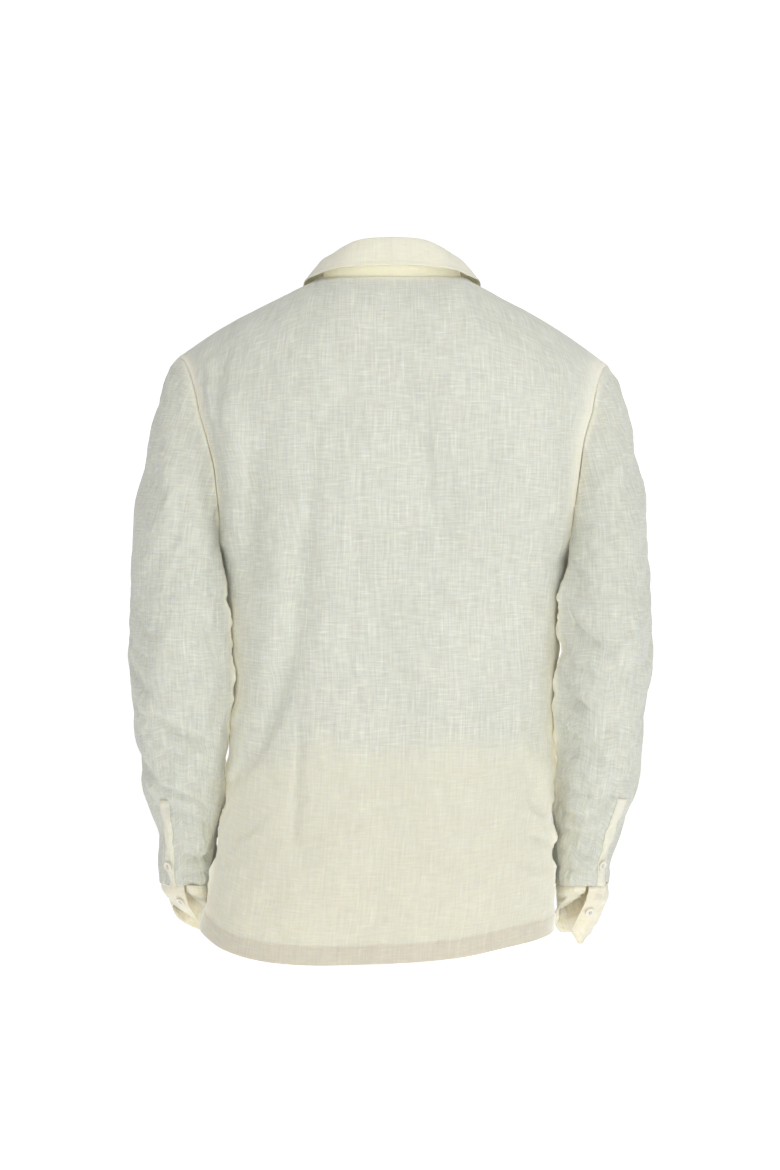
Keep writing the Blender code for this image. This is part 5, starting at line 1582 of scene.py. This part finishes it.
def add_button(name, node, place, facing):
    """A dished button with crossed thread, its four holes thin dark discs of painted shade, its back just
    off place and its face along facing.
    """
    facing = facing / np.linalg.norm(facing)
    side = np.cross([0, 0, 1.0], facing)
    side /= np.linalg.norm(side)
    turned = np.stack([side, np.cross(facing, side), facing])
    profile = [(r * BUTTON_RADIUS, h * BUTTON_THICKNESS) for r, h in BUTTON_PROFILE]
    points, faces = lathe(profile, BUTTON_SIDES)
    parts = [(points, faces, 0)]
    dish = BUTTON_PROFILE[-1][1] * BUTTON_THICKNESS
    for a in HOLE_ANGLES:
        hole, hole_faces = lathe([(HOLE_RADIUS, 0.0), (HOLE_RADIUS * HOLE_TAPER, HOLE_RISE)], HOLE_SIDES)
        centre = np.array([HOLE_PLACE * cosine(a), HOLE_PLACE * sine(a), dish])
        parts.append((hole + centre, hole_faces, 1))
    for a, lift in BARS:
        bar, bar_faces = lathe(BAR, BAR_SIDES)
        way = np.array([cosine(a), sine(a), 0])
        cross = np.array([-way[1], way[0], 0])
        shaped = bar[:, 2:3] * HOLE_PLACE * way + bar[:, 0:1] * cross
        shaped = shaped + bar[:, 1:2] * np.array([0, 0, 1.0]) + np.array([0, 0, dish + lift])
        parts.append((shaped, [f[::-1] for f in bar_faces], 2))
    points, faces, slots = [], [], []
    for part_points, part_faces, slot in parts:
        start_at = sum(len(p) for p in points)
        points.append(part_points)
        faces += [[i + start_at for i in f] for f in part_faces]
        slots += [slot] * len(part_faces)
    world = np.concatenate(points) @ turned + place + facing * BUTTON_LIFT
    piece = add_mesh(name, world, faces, (SHELL, HOLE_SHADE, THREAD))
    piece.data.polygons.foreach_set("material_index", slots)
    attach(piece, "root")
    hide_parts(node)
    return piece


front_line = front[start:, middle - 1 : middle + 1].mean(axis=1)
line_facing = front_facing[start:, middle]
for number, button_height in enumerate(FRONT_BUTTON_HEIGHTS, 1):
    order = np.argsort(front_line[:, 2])
    place = read_at(button_height, front_line[order, 2], front_line[order])
    way = read_at(button_height, front_line[order, 2], line_facing[order])
    way = way / np.linalg.norm(way)
    place = place + way * (CLOTH_THICKNESS + SKIN_GAP)
    add_button(f"button_front_{number}_shell", f"button_front_{number}", place, way)
for side in ("left", "right"):
    over, strip_facing = sleeve_buttons[side]
    centre_column = over.shape[1] // 2
    add_button(
        f"button_sleeve_{side}_shell",
        f"button_sleeve_{side}",
        over[SLEEVE_BUTTON_ROW, centre_column],
        strip_facing[SLEEVE_BUTTON_ROW, centre_column],
    )
    points, facing = cuff_grids[side]
    add_button(
        f"button_cuff_{side}_shell", f"button_cuff_{side}", points[CUFF_BUTTON], facing[CUFF_BUTTON]
    )

# The studio.
# A white floor that sweeps up to a wall, broad soft light from the camera's side and above, and the
# camera behind the shirt at the height of its armpits, as in the photograph.

FLOOR_HEIGHT = -1.45
SWEEP_START = -3.0
SWEEP_RADIUS = 2.0
SWEEP_TOP = 5.0
SWEEP_STEPS = 24
STUDIO_HALF_WIDTH = 9.0
STUDIO_FRONT = 8.0
CAMERA_PLACE = (0.0022, 4.0, -0.3261)
FRAME_PIXELS = (780, 1170)
METRES_PER_PIXEL = 1.087e-3
SENSOR_HEIGHT = 24.0
PAPER_LIGHT = 0.46
AIR_LIGHT = 0.30
LIGHTS_AIM = (0, 0, -0.35)

arc = np.linspace(0, 90, SWEEP_STEPS)
sweep_end = SWEEP_START - SWEEP_RADIUS
sweep_y = np.concatenate([[STUDIO_FRONT], SWEEP_START - SWEEP_RADIUS * sine(arc), [sweep_end]])
sweep_z = np.concatenate([[0.0], SWEEP_RADIUS * (1 - cosine(arc)), [SWEEP_TOP]]) + FLOOR_HEIGHT
edge_x = np.array([-STUDIO_HALF_WIDTH, STUDIO_HALF_WIDTH])
grid_y, grid_x = np.meshgrid(sweep_y, edge_x, indexing="ij")
grid_z = sweep_z[:, None] + 0 * grid_x
floor_points = np.stack([grid_x, grid_y, grid_z], axis=-1)
index = np.arange(floor_points.size // 3).reshape(floor_points.shape[:2])
quads = np.stack([index[:-1, :-1], index[1:, :-1], index[1:, 1:], index[:-1, 1:]], axis=-1).reshape(-1, 4)
PAPER = plain_material("white_paper", (0.95, 0.95, 0.95), 1.0)
paper_shader = PAPER.node_tree.nodes["Principled BSDF"]
paper_shader.inputs["Emission Color"].default_value = (1.0, 1.0, 1.0, 1.0)
paper_shader.inputs["Emission Strength"].default_value = PAPER_LIGHT
floor = add_mesh("studio_floor", floor_points, quads.tolist(), [PAPER])

world = bpy.data.worlds.new("studio_air")
bpy.context.scene.world = world
world.use_nodes = True
world.node_tree.nodes["Background"].inputs["Color"].default_value = (1.0, 1.0, 1.0, 1.0)
world.node_tree.nodes["Background"].inputs["Strength"].default_value = AIR_LIGHT

LIGHT_COLUMNS = ("name", "x", "y", "z", "width", "height", "power")
LIGHTS = (
    ("key_light", -3.2, 2.2, 1.8, 1.6, 1.6, 33.0),
    ("fill_light", 3.2, 3.0, 0.4, 2.6, 2.6, 7.0),
    ("front_light", -0.6, 5.2, -0.2, 2.2, 2.2, 62.0),
    ("low_light", 0.2, 2.8, -1.2, 2.4, 1.0, 3.0),
    ("top_light", 0.0, 1.6, 3.2, 2.4, 2.4, 44.0),
)
for row in LIGHTS:
    light = dict(zip(LIGHT_COLUMNS, row))
    data = bpy.data.lights.new(light["name"], "AREA")
    data.shape = "RECTANGLE"
    data.size = light["width"]
    data.size_y = light["height"]
    data.energy = light["power"]
    lamp = bpy.data.objects.new(light["name"], data)
    bpy.context.scene.collection.objects.link(lamp)
    place = np.array([light["x"], light["y"], light["z"]])
    toward = np.array(LIGHTS_AIM) - place
    lamp.location = place
    pitch = math.acos(-toward[2] / np.linalg.norm(toward))
    lamp.rotation_euler = (pitch, 0, math.atan2(-toward[0], toward[1]))

camera_data = bpy.data.cameras.new("camera")
camera = bpy.data.objects.new("camera", camera_data)
bpy.context.scene.collection.objects.link(camera)
camera.location = CAMERA_PLACE
camera.rotation_euler = (math.pi / 2, 0, math.pi)
camera_data.sensor_fit = "VERTICAL"
camera_data.sensor_height = SENSOR_HEIGHT
camera_data.lens = SENSOR_HEIGHT * CAMERA_PLACE[1] / (FRAME_PIXELS[1] * METRES_PER_PIXEL)
bpy.context.scene.camera = camera
bpy.context.scene.view_settings.view_transform = "Standard"
